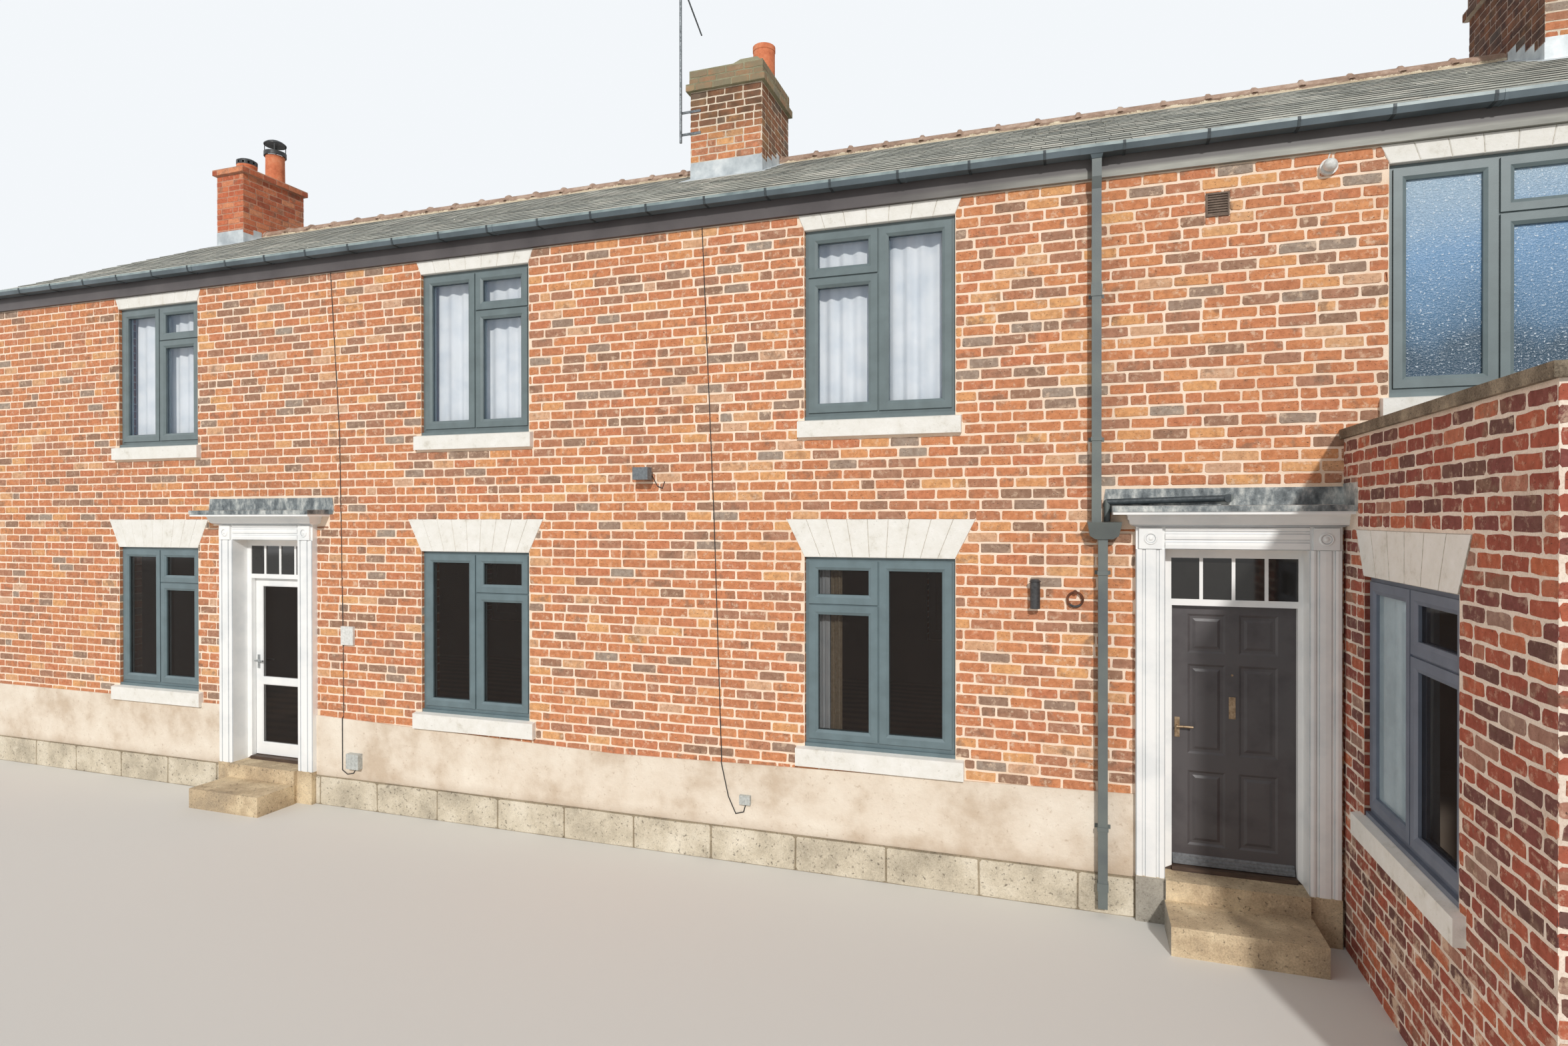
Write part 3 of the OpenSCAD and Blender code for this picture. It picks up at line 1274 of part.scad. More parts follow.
stone_footing();
wing_footing();
ground_floors();
first_floors();
front_wall_left();
front_wall_middle();
front_wall_right();
front_wall_over_doors();
back_wall();
left_gable_wall();
party_wall();
right_end_wall();
chimney_breasts();
front_roof();
back_roof();
ridge_tiles();
fascias();
gutters();
rainwater_pipes();
wall_render();
window_lintels();
window_sills();
window_frames();
window_glass();
net_curtains();
curtain_rods();
door_pilasters();
door_entablatures();
door_hoods();
door_jambs();
fanlights();
door_steps();
right_door_leaf();
right_door_fittings();
left_door_leaf();
left_door_glass();
left_door_fittings();
chimney_stacks();
chimney_pots();
chimney_cowls();
chimney_flashings();
tv_aerial();
wing_left_wall();
wing_front_wall();
wing_right_wall();
wing_roof();
wing_coping();
wall_fittings();
wall_cables();
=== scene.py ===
"""Terraced row of brick houses: the looks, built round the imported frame. Everything is in metres."""
import math
import random

import bpy
import numpy as np
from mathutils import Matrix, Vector


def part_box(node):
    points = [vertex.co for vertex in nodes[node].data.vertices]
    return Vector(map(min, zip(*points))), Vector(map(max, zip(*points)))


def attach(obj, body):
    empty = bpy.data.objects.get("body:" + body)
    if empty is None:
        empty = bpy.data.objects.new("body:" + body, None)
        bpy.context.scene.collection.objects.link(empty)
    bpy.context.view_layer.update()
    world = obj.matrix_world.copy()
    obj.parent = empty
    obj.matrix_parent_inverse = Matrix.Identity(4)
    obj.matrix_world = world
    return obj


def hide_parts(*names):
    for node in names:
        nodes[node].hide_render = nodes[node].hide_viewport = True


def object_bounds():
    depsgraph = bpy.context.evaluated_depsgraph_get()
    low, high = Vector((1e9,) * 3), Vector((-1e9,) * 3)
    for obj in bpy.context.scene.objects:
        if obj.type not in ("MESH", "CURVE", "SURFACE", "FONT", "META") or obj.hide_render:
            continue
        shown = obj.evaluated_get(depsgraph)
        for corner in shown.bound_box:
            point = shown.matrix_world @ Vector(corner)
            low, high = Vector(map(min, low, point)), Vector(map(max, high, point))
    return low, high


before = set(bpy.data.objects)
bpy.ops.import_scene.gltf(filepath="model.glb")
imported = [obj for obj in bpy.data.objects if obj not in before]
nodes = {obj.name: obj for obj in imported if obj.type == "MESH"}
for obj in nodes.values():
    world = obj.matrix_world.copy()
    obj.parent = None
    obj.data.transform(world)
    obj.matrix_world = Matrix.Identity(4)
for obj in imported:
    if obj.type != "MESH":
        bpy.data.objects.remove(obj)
cad_bounds = [[float(v) for v in corner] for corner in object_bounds()]
scene = bpy.context.scene

# Camera, light and floor.
# The camera stands at the photograph's viewpoint. One soft lamp comes from the front right, a much
# weaker and broader one from the left, and the even pale sky does the rest, so that a colour renders
# about as it is written.
lens_camera = bpy.data.cameras.new("camera")
lens_camera.sensor_width = 36.0
lens_camera.lens = 19.495
lens_camera.shift_x = 0.00194
lens_camera.shift_y = -0.00142
lens_camera.clip_end = 200.0
camera = bpy.data.objects.new("camera", lens_camera)
camera.location = (3.9338, -6.8691, 2.9867)
camera.rotation_euler = (1.56712, 0.00101, 0.32767)
scene.collection.objects.link(camera)
scene.camera = camera
scene.view_settings.view_transform = "Standard"

for lamp_name, energy, spread, colour, towards in (
        ("key_lamp", 2.22, 2.5, (1.0, 0.985, 0.955), (-0.31, 1.0, -0.55)),
        ("fill_lamp", 0.60, 70.0, (1.0, 0.97, 0.93), (0.85, 0.25, -0.35))):
    lamp = bpy.data.lights.new(lamp_name, "SUN")
    lamp.energy = energy
    lamp.angle = math.radians(spread)
    lamp.color = colour
    stand = bpy.data.objects.new(lamp_name, lamp)
    stand.rotation_euler = Vector(towards).to_track_quat("-Z", "Y").to_euler()
    scene.collection.objects.link(stand)


def add(tree, kind, props=None, **inputs):
    """A node with its properties and inputs set; an input that is a socket is linked."""
    made = tree.nodes.new(kind)
    for key, value in (props or {}).items():
        setattr(made, key, value)
    for key, value in inputs.items():
        at = int(key[1:]) if key[1:].isdigit() else key.replace("_", " ")
        if isinstance(value, bpy.types.NodeSocket):
            tree.links.new(value, made.inputs[at])
        else:
            made.inputs[at].default_value = value
    return made


def maths(tree, how, *values, clamp=False):
    """One step of arithmetic, on numbers or sockets."""
    inputs = {"i%d" % k: value for k, value in enumerate(values)}
    return add(tree, "ShaderNodeMath", {"operation": how, "use_clamp": clamp}, **inputs).outputs[0]


world = bpy.data.worlds.new("sky")
world.use_nodes = True
scene.world = world
sky = world.node_tree
sky.nodes.clear()
rays = add(sky, "ShaderNodeLightPath").outputs
seen = maths(sky, "MAXIMUM", rays["Is Camera Ray"], rays["Is Glossy Ray"])
seen = maths(sky, "MAXIMUM", seen, rays["Is Transmission Ray"])
lit = add(sky, "ShaderNodeBackground", Color=(0.93, 0.96, 1.0, 1.0), Strength=0.38)
shown = add(sky, "ShaderNodeBackground", Color=(0.90, 0.93, 0.96, 1.0), Strength=1.0)
sky_mix = add(sky, "ShaderNodeMixShader", i0=seen, i1=lit.outputs[0], i2=shown.outputs[0])
add(sky, "ShaderNodeOutputWorld", Surface=sky_mix.outputs[0])


def linear(text):
    """A colour written as #rrggbb, as the numbers that a shader takes."""
    parts = [int(text[i:i + 2], 16) / 255 for i in (1, 3, 5)]
    return tuple(c / 12.92 if c <= 0.04045 else ((c + 0.055) / 1.055) ** 2.4 for c in parts) + (1.0,)


def surface(name, colour, roughness, metallic=0.0, specular=0.5):
    """A new material; its colour is set on the shader until something varies it."""
    made = bpy.data.materials.new(name)
    made.use_nodes = True
    shader = made.node_tree.nodes["Principled BSDF"]
    shader.inputs["Base Color"].default_value = linear(colour)
    shader.inputs["Roughness"].default_value = roughness
    shader.inputs["Metallic"].default_value = metallic
    shader.inputs["Specular IOR Level"].default_value = specular
    made.diffuse_color = linear(colour)
    return made


def shader_of(made):
    """The one shader of a material."""
    return made.node_tree.nodes["Principled BSDF"]


FLOOR_REACH = 60.0
floor_corners = [(x * FLOOR_REACH, y * FLOOR_REACH, 0) for x, y in ((-1, -1), (1, -1), (1, 1), (-1, 1))]
floor_mesh = bpy.data.meshes.new("floor")
floor_mesh.from_pydata(floor_corners, [], [(0, 1, 2, 3)])
floor = bpy.data.objects.new("floor", floor_mesh)
scene.collection.objects.link(floor)
floor_mesh.materials.append(surface("floor_paint", "#dedcd7", 0.9))

# Footing and steps.
# The walls stand on a base course of long sandstone blocks. The thresholds, the steps before them
# and the blocks under the pilasters are the same weathered buff stone.
FOOTING_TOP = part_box("stone_footing")[1].z
ROW_X0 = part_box("front_wall_left")[0].x
ROW_X1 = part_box("front_wall_right")[1].x
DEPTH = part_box("back_wall")[1].y
FOOTING_PROUD = -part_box("stone_footing")[0].y
UP = Vector((0, 0, 1))


def place(tree):
    """Where a point lies in the row, whatever the piece."""
    return add(tree, "ShaderNodeTexCoord").outputs["Object"]


def stretched(tree, where, x, y, z):
    """The same places, closer together along some of the axes."""
    return add(tree, "ShaderNodeMapping", Vector=where, Scale=(x, y, z)).outputs[0]


def noise(tree, where, scale, detail=4.0, rough=0.55):
    """Smooth noise from 0 to 1."""
    return add(tree, "ShaderNodeTexNoise", Vector=where, Scale=scale, Detail=detail,
               Roughness=rough).outputs["Fac"]


def ramp(tree, factor, *stops):
    """Colours along a factor, each as (position, #rrggbb), or greys as (position, level)."""
    made = add(tree, "ShaderNodeValToRGB", Fac=factor)
    points = made.color_ramp.elements
    while len(points) < len(stops):
        points.new(0.5)
    for point, (position, colour) in zip(points, stops):
        point.position = position
        point.color = linear(colour) if isinstance(colour, str) else (colour, colour, colour, 1.0)
    return made.outputs["Color"]


def tint(tree, factor, under, over, how="MIX"):
    """One colour laid over another by a factor."""
    made = add(tree, "ShaderNodeMix", {"data_type": "RGBA", "blend_type": how})
    for socket, value in ((made.inputs[0], factor), (made.inputs[6], under), (made.inputs[7], over)):
        if isinstance(value, bpy.types.NodeSocket):
            tree.links.new(value, socket)
        else:
            socket.default_value = linear(value) if isinstance(value, str) else value
    return made.outputs[2]


def sums(tree, how, a, b):
    """Arithmetic on two factors; all but a difference is kept between 0 and 1."""
    return maths(tree, how, a, b, clamp=how != "SUBTRACT")


def relief(made, height, depth):
    """Raises the surface by a height from 0 to 1, times a depth in metres."""
    tree = made.node_tree
    bump = add(tree, "ShaderNodeBump", Height=height, Distance=depth, Strength=0.8)
    tree.links.new(bump.outputs[0], shader_of(made).inputs["Normal"])


def coloured(made, colour):
    """Takes a surface's colour from its nodes."""
    made.node_tree.links.new(colour, shader_of(made).inputs["Base Color"])


def attribute(tree, name):
    """A value that each face carries with it."""
    return add(tree, "ShaderNodeAttribute", {"attribute_name": name}).outputs["Fac"]


def finish_node(name, made):
    """Gives a CAD node its real finish."""
    mesh = nodes[name].data
    mesh.materials.clear()
    mesh.materials.append(made)


def finish_faces(name, made, test):
    """Gives a second finish to those faces of a CAD node whose middle and direction pass a test."""
    piece = nodes[name]
    mesh = piece.data
    mesh.materials.append(made)
    index = len(mesh.materials) - 1
    turn = piece.matrix_world.to_3x3()
    for polygon in mesh.polygons:
        if test(piece.matrix_world @ polygon.center, turn @ polygon.normal):
            polygon.material_index = index


def stone_surface(name, low, middle, high, grain=1.0, dark="#4b4138"):
    """Weathered stone: broad stains, fine grain, dark pits and a pale bloom."""
    made = surface(name, middle, 0.9, specular=0.3)
    tree = made.node_tree
    where = place(tree)
    stain = ramp(tree, noise(tree, where, 2.6 * grain, 7.0, 0.62), (0.34, low), (0.5, middle), (0.66, high))
    grainy = noise(tree, where, 95.0 * grain, 3.0, 0.7)
    base = tint(tree, 0.3, stain, ramp(tree, grainy, (0.36, low), (0.64, high)))
    pits = ramp(tree, noise(tree, where, 38.0 * grain, 3.0, 0.65), (0.60, 0.0), (0.68, 0.7))
    bloom = ramp(tree, noise(tree, where, 9.0 * grain, 6.0, 0.7), (0.58, 0.0), (0.70, 0.5))
    coloured(made, tint(tree, pits, tint(tree, bloom, base, high), dark))
    relief(made, sums(tree, "ADD", grainy, noise(tree, where, 14.0 * grain)), 0.004)
    return made


sandstone = stone_surface("sandstone", "#a39885", "#cfc3ad", "#e9dfcc")
joint_stone = stone_surface("stone_joint", "#6f6454", "#94866f", "#b0a28b")
step_stone = stone_surface("step_stone", "#968570", "#bda687", "#ead6b3")
foot_stone = stone_surface("foot_stone", "#7d776c", "#9b958a", "#b5afa3")
finish_node("stone_footing", joint_stone)
finish_node("wing_footing", joint_stone)
finish_node("door_steps", step_stone)


def cut(rects, hole):
    """What is left of upright rectangles (u0, u1, z0, z1) when a hole is taken out of them."""
    left = []
    h0, h1, hz0, hz1 = hole
    for u0, u1, z0, z1 in rects:
        if u1 <= h0 or u0 >= h1 or z1 <= hz0 or z0 >= hz1:
            left.append((u0, u1, z0, z1))
            continue
        if u0 < h0:
            left.append((u0, h0, z0, z1))
        if u1 > h1:
            left.append((h1, u1, z0, z1))
        a, b = max(u0, h0), min(u1, h1)
        if z0 < hz0:
            left.append((a, b, z0, hz0))
        if z1 > hz1:
            left.append((a, b, hz1, z1))
    return left


# The gap round a hole, the least length of a block at the end of a course, and the least length and
# height of one that a hole cuts
HOLE_GAP = 0.004
SHORTEST = 0.03
OFFCUT = (0.022, 0.016)
TINY = 1e-6


def courses(span, rise, unit, joint, holes=(), base=None, headers=0, wander=0.0, seed=0):
    """Blocks laid in courses over a wall face, cut round its holes. span is (u0, u1), rise (z0, z1),
    unit (length, height) with the joint; every so many courses, short headers lie between the long
    ones, and each course may start a little off its place."""
    draw = random.Random(seed)
    u0, u1 = span
    z0, z1 = rise
    start = z0 if base is None else base
    rows = []
    index = math.floor((z0 - start) / unit[1] + TINY)
    while start + index * unit[1] < z1 - TINY:
        low = max(start + index * unit[1], z0)
        top = min(start + (index + 1) * unit[1] - joint, z1)
        at = u0 - unit[0] * (1 + 0.5 * (index % 2)) + draw.uniform(-wander, wander)
        row = []
        mixed = headers and index % headers == headers - 1
        short = False
        while at < u1:
            length = unit[0] * (0.5 if short else 1.0) + draw.uniform(-wander, wander) * 0.25
            a, b = max(at, u0), min(at + length - joint, u1)
            if b - a > SHORTEST:
                row.append((a, b, low, top))
            at += length
            short = mixed and not short
        for hole in holes:
            if hole[2] < top and hole[3] > low:
                row = cut(row, (hole[0] - HOLE_GAP, hole[1] + HOLE_GAP, hole[2], hole[3]))
        rows += [r for r in row if r[1] - r[0] > OFFCUT[0] and r[3] - r[2] > OFFCUT[1]]
        index += 1
    return rows


def new_piece(name, mesh):
    """A piece with a mesh of its own, which rides on the row."""
    piece = bpy.data.objects.new(name, mesh)
    scene.collection.objects.link(piece)
    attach(piece, "row")
    return piece


# Where the twelve corners of a worn block lie, as parts of its length and height, and which of its
# four blunted corners each one moves with
WORN = [(0, 0, 1, 0), (0.34, 0, 0, 0), (0.67, 0, 0, 0), (1, 0, -1, 0), (1, 0, 0, 1), (1, 1, 0, -1),
        (1, 1, -1, 0), (0.67, 1, 0, 0), (0.34, 1, 0, 0), (0, 1, 1, 0), (0, 1, 0, -1), (0, 0, 0, 1)]
CORNERS = len(WORN)
# How far a block's back edge lies under the wall's face
SEAT = 0.002


def laid_blocks(name, faces, made, slot, proud, arris, uneven, blunt, seed, soot=None):
    """One mesh of worn blocks that stand a little out of their wall faces. Each face is (origin,
    along, outward, rectangles). Every block gets its own tone, and its soot from its place."""
    draw = np.random.default_rng(seed)
    points, polygons, tones, soots = [], [], [], []
    base = 0
    up_v = np.array(UP, dtype=float)
    for origin, along, outward, rects in faces:
        if not rects:
            continue
        origin, along_v, outward_v = (np.array(v, dtype=float) for v in (origin, along, outward))
        r = np.array(rects)
        count = len(r)
        out = proud * (0.6 + 0.8 * draw.random(count))
        size = np.minimum(r[:, 1] - r[:, 0], r[:, 3] - r[:, 2])
        corner = np.minimum(blunt * (0.3 + draw.random((CORNERS, count))), 0.3 * size)
        shakes = (draw.random((CORNERS, count, 2)) - 0.5) * 2 * uneven
        sides = [[], []]
        for k, (fu, fz, cu, cz) in enumerate(WORN):
            u = r[:, 0] + (r[:, 1] - r[:, 0]) * fu + cu * corner[k] + shakes[k, :, 0]
            z = np.maximum(r[:, 2] + (r[:, 3] - r[:, 2]) * fz + cz * corner[k] + shakes[k, :, 1], 0.0)
            nu = 0 if 0 < fu < 1 else (1 if fu == 0 else -1)
            nz = 1 if fz == 0 else -1
            for ring, inset, n in ((0, 0.0, np.full(count, -SEAT)), (1, arris, out)):
                across = (u + nu * inset)[:, None] * along_v
                upward = (z + nz * inset)[:, None] * up_v
                sides[ring].append(origin + across + upward + n[:, None] * outward_v)
        for ring in sides:
            points += ring
        first = base + np.arange(count)
        base += 2 * CORNERS * count
        outer = [first + k * count for k in range(CORNERS)]
        inner = [first + (CORNERS + k) * count for k in range(CORNERS)]
        flip = Vector(along).cross(UP).dot(Vector(outward)) < 0
        tone = draw.random(count)
        if soot:
            middle = origin + ((r[:, 0] + r[:, 1]) / 2)[:, None] * along_v
            dark = np.array([soot(p[0], p[1], z) for p, z in zip(middle, (r[:, 2] + r[:, 3]) / 2)])
        else:
            dark = np.zeros(count)
        loops = [inner]
        for k in range(CORNERS):
            after = (k + 1) % CORNERS
            loops.append([outer[k], outer[after], inner[after], inner[k]])
        for loop in loops:
            polygons += np.stack(loop[::-1] if flip else loop, 1).tolist()
            tones.append(tone)
            soots.append(dark)
    mesh = bpy.data.meshes.new(name)
    mesh.from_pydata(np.concatenate(points).tolist(), [], polygons)
    for label, values in (("tone", tones), ("soot", soots)):
        shades = np.concatenate(values).astype(float)
        mesh.attributes.new(label, "FLOAT", "FACE").data.foreach_set("value", shades)
    mesh.materials.append(made)
    new_piece(name, mesh)


FRONT = ((0, 0, 0), (1, 0, 0), (0, -1, 0))
BACK = ((0, DEPTH, 0), (1, 0, 0), (0, 1, 0))
LEFT_END = ((ROW_X0, 0, 0), (0, 1, 0), (-1, 0, 0))
RIGHT_END = ((ROW_X1, 0, 0), (0, 1, 0), (1, 0, 0))
SURROUND_HALF = 0.6615
DOOR_X = [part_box("door_pilasters")[0].x + SURROUND_HALF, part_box("door_pilasters")[1].x - SURROUND_HALF]
WING_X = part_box("wing_left_wall")[0].x


def moved(face, by):
    """A wall face moved straight out."""
    origin, along, outward = face
    return (tuple(o + by * n for o, n in zip(origin, outward)), along, outward)


# The block under the right door's left pilaster is of a greyer stone
PLINTH_OFF = 0.555
PLINTH_HALF = 0.12
finish_faces("door_steps", foot_stone, lambda middle, normal: middle.y < 0 and abs(normal.z) < 0.5
             and abs(middle.x - DOOR_X[1] + PLINTH_OFF) < PLINTH_HALF)

STONE_BLOCK = (0.74, FOOTING_TOP)
STONE_JOINT = 0.010
STONE_WANDER = 0.16
# How far the end stones reach past the walls' corners
STONE_OVER = 0.03
# How far blocks stand out, the width of their eased arrises, their unevenness and blunted corners
STONE_WEAR = (0.005, 0.006, 0.004, 0.02)
footing_gaps = [(x - SURROUND_HALF, x + SURROUND_HALF, 0, FOOTING_TOP) for x in DOOR_X]
footing_gaps.append((WING_X, ROW_X1 + STONE_OVER, 0, FOOTING_TOP))
footing_faces = []
for seed, (face, u0, u1, gaps) in enumerate(((FRONT, ROW_X0 - STONE_OVER, ROW_X1, footing_gaps),
                                             (BACK, ROW_X0 - STONE_OVER, ROW_X1 + STONE_OVER, ()),
                                             (LEFT_END, -STONE_OVER, DEPTH + STONE_OVER, ()),
                                             (RIGHT_END, 0, DEPTH + STONE_OVER, ())), start=2):
    stones = courses((u0, u1), (0, FOOTING_TOP), STONE_BLOCK, STONE_JOINT, gaps, wander=STONE_WANDER,
                     seed=seed)
    footing_faces.append(moved(face, FOOTING_PROUD) + (stones,))
laid_blocks("footing_stones", footing_faces, sandstone, "stone", *STONE_WEAR, 5)

# Brick walls.
# Old hand-made bricks in shades of orange, brown and grey are laid in courses of 86 mm in wide, pale
# lime mortar, with headers in every seventh course. The wing is of darker, redder bricks.
BRICK = (0.246, 0.086)
BED = 0.015
HEADER_EVERY = 7
BRICK_WANDER = 0.02
FASCIA_Z0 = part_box("fascias")[0].z


def reading(tree, where, axis):
    """How far a place lies along one axis, X, Y or Z."""
    return add(tree, "ShaderNodeSeparateXYZ", Vector=where).outputs[axis]


def brick_surface(name, soot_colour, lime, *stops, foot=0.0):
    """Burnt clay: one tone for each brick, greyer ends, dark pits, lime smears, soot over it, and below
    the height given as its foot, more lime."""
    made = surface(name, "#c06c4a", 0.88, specular=0.25)
    tree = made.node_tree
    where = place(tree)
    tone = attribute(tree, "tone")
    # A second random tone for each brick, from the first one's far digits
    second = maths(tree, "FRACT", maths(tree, "MULTIPLY", tone, 57.3))
    base = ramp(tree, tone, *stops)
    burnt = ramp(tree, noise(tree, where, 6.5, 4.0, 0.6), (0.53, 0.0), (0.62, 0.62))
    burnt = sums(tree, "MULTIPLY", burnt, ramp(tree, second, (0.3, 0.15), (0.7, 1.0)))
    base = tint(tree, burnt, base, "#917663")
    fired = ramp(tree, noise(tree, where, 24.0, 5.0, 0.65), (0.36, "#cbbdb4"), (0.62, "#ffffff"))
    base = tint(tree, 0.6, base, fired, "MULTIPLY")
    smear = ramp(tree, noise(tree, where, 15.0, 6.0, 0.72), (0.54, 0.0), (0.64, lime))
    smear = sums(tree, "MULTIPLY", smear, ramp(tree, noise(tree, where, 0.55, 3.0), (0.36, 0.5), (0.56, 1.0)))
    if foot:
        height = sums(tree, "DIVIDE", reading(tree, where, "Z"), 2.0 * foot)
        low = ramp(tree, height, (0.3, 1.0), (0.6, 0.0))
        patch = ramp(tree, noise(tree, where, 4.5, 7.0, 0.7), (0.55, 0.0), (0.62, 0.75))
        smear = sums(tree, "MAXIMUM", smear, sums(tree, "MULTIPLY", patch, low))
    base = tint(tree, smear, base, "#e9cdb2")
    holes = noise(tree, stretched(tree, where, 1, 1, 1.7), 62.0, 3.0, 0.68)
    pits = ramp(tree, holes, (0.63, 0.0), (0.68, 0.85))
    base = tint(tree, pits, base, "#43332b")
    soot_cloud = sums(tree, "MULTIPLY", attribute(tree, "soot"),
                      ramp(tree, noise(tree, where, 6.0, 6.0, 0.65), (0.3, 0.55), (0.6, 1.0)))
    coloured(made, tint(tree, soot_cloud, base, soot_colour))
    relief(made, sums(tree, "ADD", noise(tree, where, 60.0, 4.0, 0.7), noise(tree, where, 11.0, 3.0)), 0.006)
    return made


OLD_TONES = ((0.0, "#ab9c8e"), (0.07, "#a2806a"), (0.16, "#b9886e"), (0.30, "#cb8863"), (0.52, "#d99266"),
             (0.70, "#d18864"), (0.85, "#dd996a"), (0.94, "#e8af78"), (1.0, "#dcb395"))
old_brick = brick_surface("old_brick", "#4b3f38", 0.6, *OLD_TONES)
red_brick = brick_surface("red_brick", "#4b3f38", 0.45, (0.0, "#70504a"), (0.2, "#87504a"), (0.45, "#a35747"),
                          (0.7, "#b2614c"), (0.88, "#c87352"), (1.0, "#a58577"), foot=1.1)


def mortar_surface(name, colour, dark):
    """Lime mortar, clouded and gritty."""
    made = surface(name, colour, 0.95, specular=0.2)
    tree = made.node_tree
    where = place(tree)
    cloud = ramp(tree, noise(tree, where, 2.2, 7.0, 0.65), (0.36, dark), (0.55, colour))
    fine = ramp(tree, noise(tree, where, 150.0, 3.0, 0.7), (0.34, dark), (0.56, colour))
    coloured(made, tint(tree, 0.45, cloud, fine))
    relief(made, noise(tree, where, 110.0, 3.0, 0.7), 0.003)
    return made


def coursed_surface(name, base, mortar, *stops):
    """The bricks' cut ends in the reveals of openings: a band of one tone for each course."""
    made = surface(name, mortar, 0.9, specular=0.25)
    tree = made.node_tree
    where = place(tree)
    course = add(tree, "ShaderNodeMapRange", {"clamp": False}, Value=reading(tree, where, "Z"), i1=base,
                 i2=base + BRICK[1]).outputs[0]
    number = maths(tree, "FLOOR", course)
    tone = add(tree, "ShaderNodeTexWhiteNoise", {"noise_dimensions": "1D"}, W=number).outputs["Value"]
    fired = ramp(tree, noise(tree, where, 40.0, 5.0, 0.7), (0.36, "#b8a89e"), (0.62, "#ffffff"))
    brick = tint(tree, 0.6, ramp(tree, tone, *stops), fired, "MULTIPLY")
    bed = ramp(tree, maths(tree, "FRACT", course), (0.80, 0.0), (0.84, 1.0))
    coloured(made, tint(tree, bed, brick, mortar))
    relief(made, noise(tree, where, 60.0, 4.0, 0.7), 0.004)
    return made


def clouded(name, colour, roughness, cloud, *stops, stretch=None, bumps=None, **shine):
    """A surface whose colour drifts from stop to stop, in clouds of a (scale, detail, roughness), with
    bumps of a (scale, detail, depth) where it has any."""
    made = surface(name, colour, roughness, **shine)
    tree = made.node_tree
    where = place(tree)
    drift = stretched(tree, where, *stretch) if stretch else where
    coloured(made, ramp(tree, noise(tree, drift, *cloud), *stops))
    if bumps:
        scale, detail, depth = bumps
        relief(made, noise(tree, where, scale, detail), depth)
    return made


old_ends = coursed_surface("old_brick_ends", FOOTING_TOP, "#ead0b6", *OLD_TONES)
red_ends = coursed_surface("red_brick_ends", 0.0, "#c3ad99", (0.0, "#66423a"), (0.4, "#93493a"),
                           (1.0, "#b06048"))
lime_mortar = mortar_surface("lime_mortar", "#fde8d3", "#e9cbae")
wing_mortar = mortar_surface("wing_mortar", "#f4e4d4", "#cbb6a4")
# The rooms' inner faces are painted a dark grey brown: painted shade of rooms lit only through their windows.
room_plaster_painted_shade = clouded("room_plaster_painted_shade", "#59504a", 0.9, (1.2, 3.0), (0.3, "#4d4540"), (0.7, "#625851"))

WING_Y0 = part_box("wing_left_wall")[0].y
# How far the rooms' faces lie inside the row's outer faces, at its ends and at its front and back
ROOM_SIDE = 0.2
ROOM_DEEP = 0.24
# How nearly along an axis a face must look, and how far from a corner it must lie, to be a reveal
SQUARE = 0.9
OFF_CORNER = 0.01


def within(middle, _):
    """Faces that look into the rooms."""
    return abs(middle.x) < ROW_X1 - ROOM_SIDE and ROOM_DEEP < middle.y < DEPTH - ROOM_DEEP


def within_wing(middle, _):
    """Faces that look into the wing's room."""
    return WING_X + ROOM_SIDE < middle.x < ROW_X1 - ROOM_SIDE and middle.y > WING_Y0 + ROOM_SIDE


def reveal(middle, normal):
    """The upright sides of an opening in the front or back wall."""
    return abs(normal.x) > SQUARE and abs(middle.x) < ROW_X1 - OFF_CORNER and middle.z > 0.5


def wing_reveal(middle, normal):
    """The upright sides of the opening in the wing's side wall."""
    return abs(normal.y) > SQUARE and WING_Y0 + OFF_CORNER < middle.y < -0.26


for name in ("front_wall_left", "front_wall_middle", "front_wall_right", "front_wall_over_doors", "back_wall",
             "left_gable_wall", "right_end_wall", "party_wall", "chimney_breasts"):
    finish_node(name, lime_mortar)
    if name in ("front_wall_left", "front_wall_middle", "front_wall_right", "back_wall"):
        finish_faces(name, old_ends, reveal)
    finish_faces(name, room_plaster_painted_shade, within)
for name in ("wing_left_wall", "wing_front_wall", "wing_right_wall"):
    finish_node(name, wing_mortar)
    if name == "wing_left_wall":
        finish_faces(name, red_ends, wing_reveal)
    finish_faces(name, room_plaster_painted_shade, within_wing)

WINDOW_X = [-5.890, -1.560, 2.440, 6.640]
WINDOW_HALF = 0.630
WINDOW_H = 1.600
# Height and spread of a lintel at its top, and height and ears of a sill
GROUND_TRIM = (0.319, 0.160, 0.160, 0.070)
UPPER_TRIM = (0.134, 0.055, 0.145, 0.050)
GROUND_SILL = 1.054
UPPER_SILL = FASCIA_Z0 - UPPER_TRIM[0] - WINDOW_H
front_openings = [(x, UPPER_SILL, UPPER_TRIM) for x in WINDOW_X]
front_openings += [(x, GROUND_SILL, GROUND_TRIM) for x in WINDOW_X[:3]]
back_openings = [(x, sill, trim) for x in WINDOW_X
                 for sill, trim in ((UPPER_SILL, UPPER_TRIM), (GROUND_SILL, GROUND_TRIM))]


def opening_holes(openings, half=WINDOW_HALF, height=WINDOW_H, base=FOOTING_TOP):
    """Every window, with its sill and its wedge of a lintel, as holes for the bricks."""
    holes = []
    for x, sill, (lintel_h, splay, sill_h, ear) in openings:
        holes.append((x - half, x + half, sill, sill + height))
        holes.append((x - half - ear, x + half + ear, sill - sill_h, sill))
        head = sill + height
        low = head
        while low < head + lintel_h - TINY:
            step = base + (math.floor((low - base) / BRICK[1] + TINY) + 1) * BRICK[1]
            high = min(step, head + lintel_h)
            reach = half + splay * (low - head) / lintel_h
            holes.append((x - reach, x + reach, low, high))
            low = high
    return holes


RENDER_LEFT = 0.94
RENDER_MID = 0.83
RENDER_RIGHT = 0.93


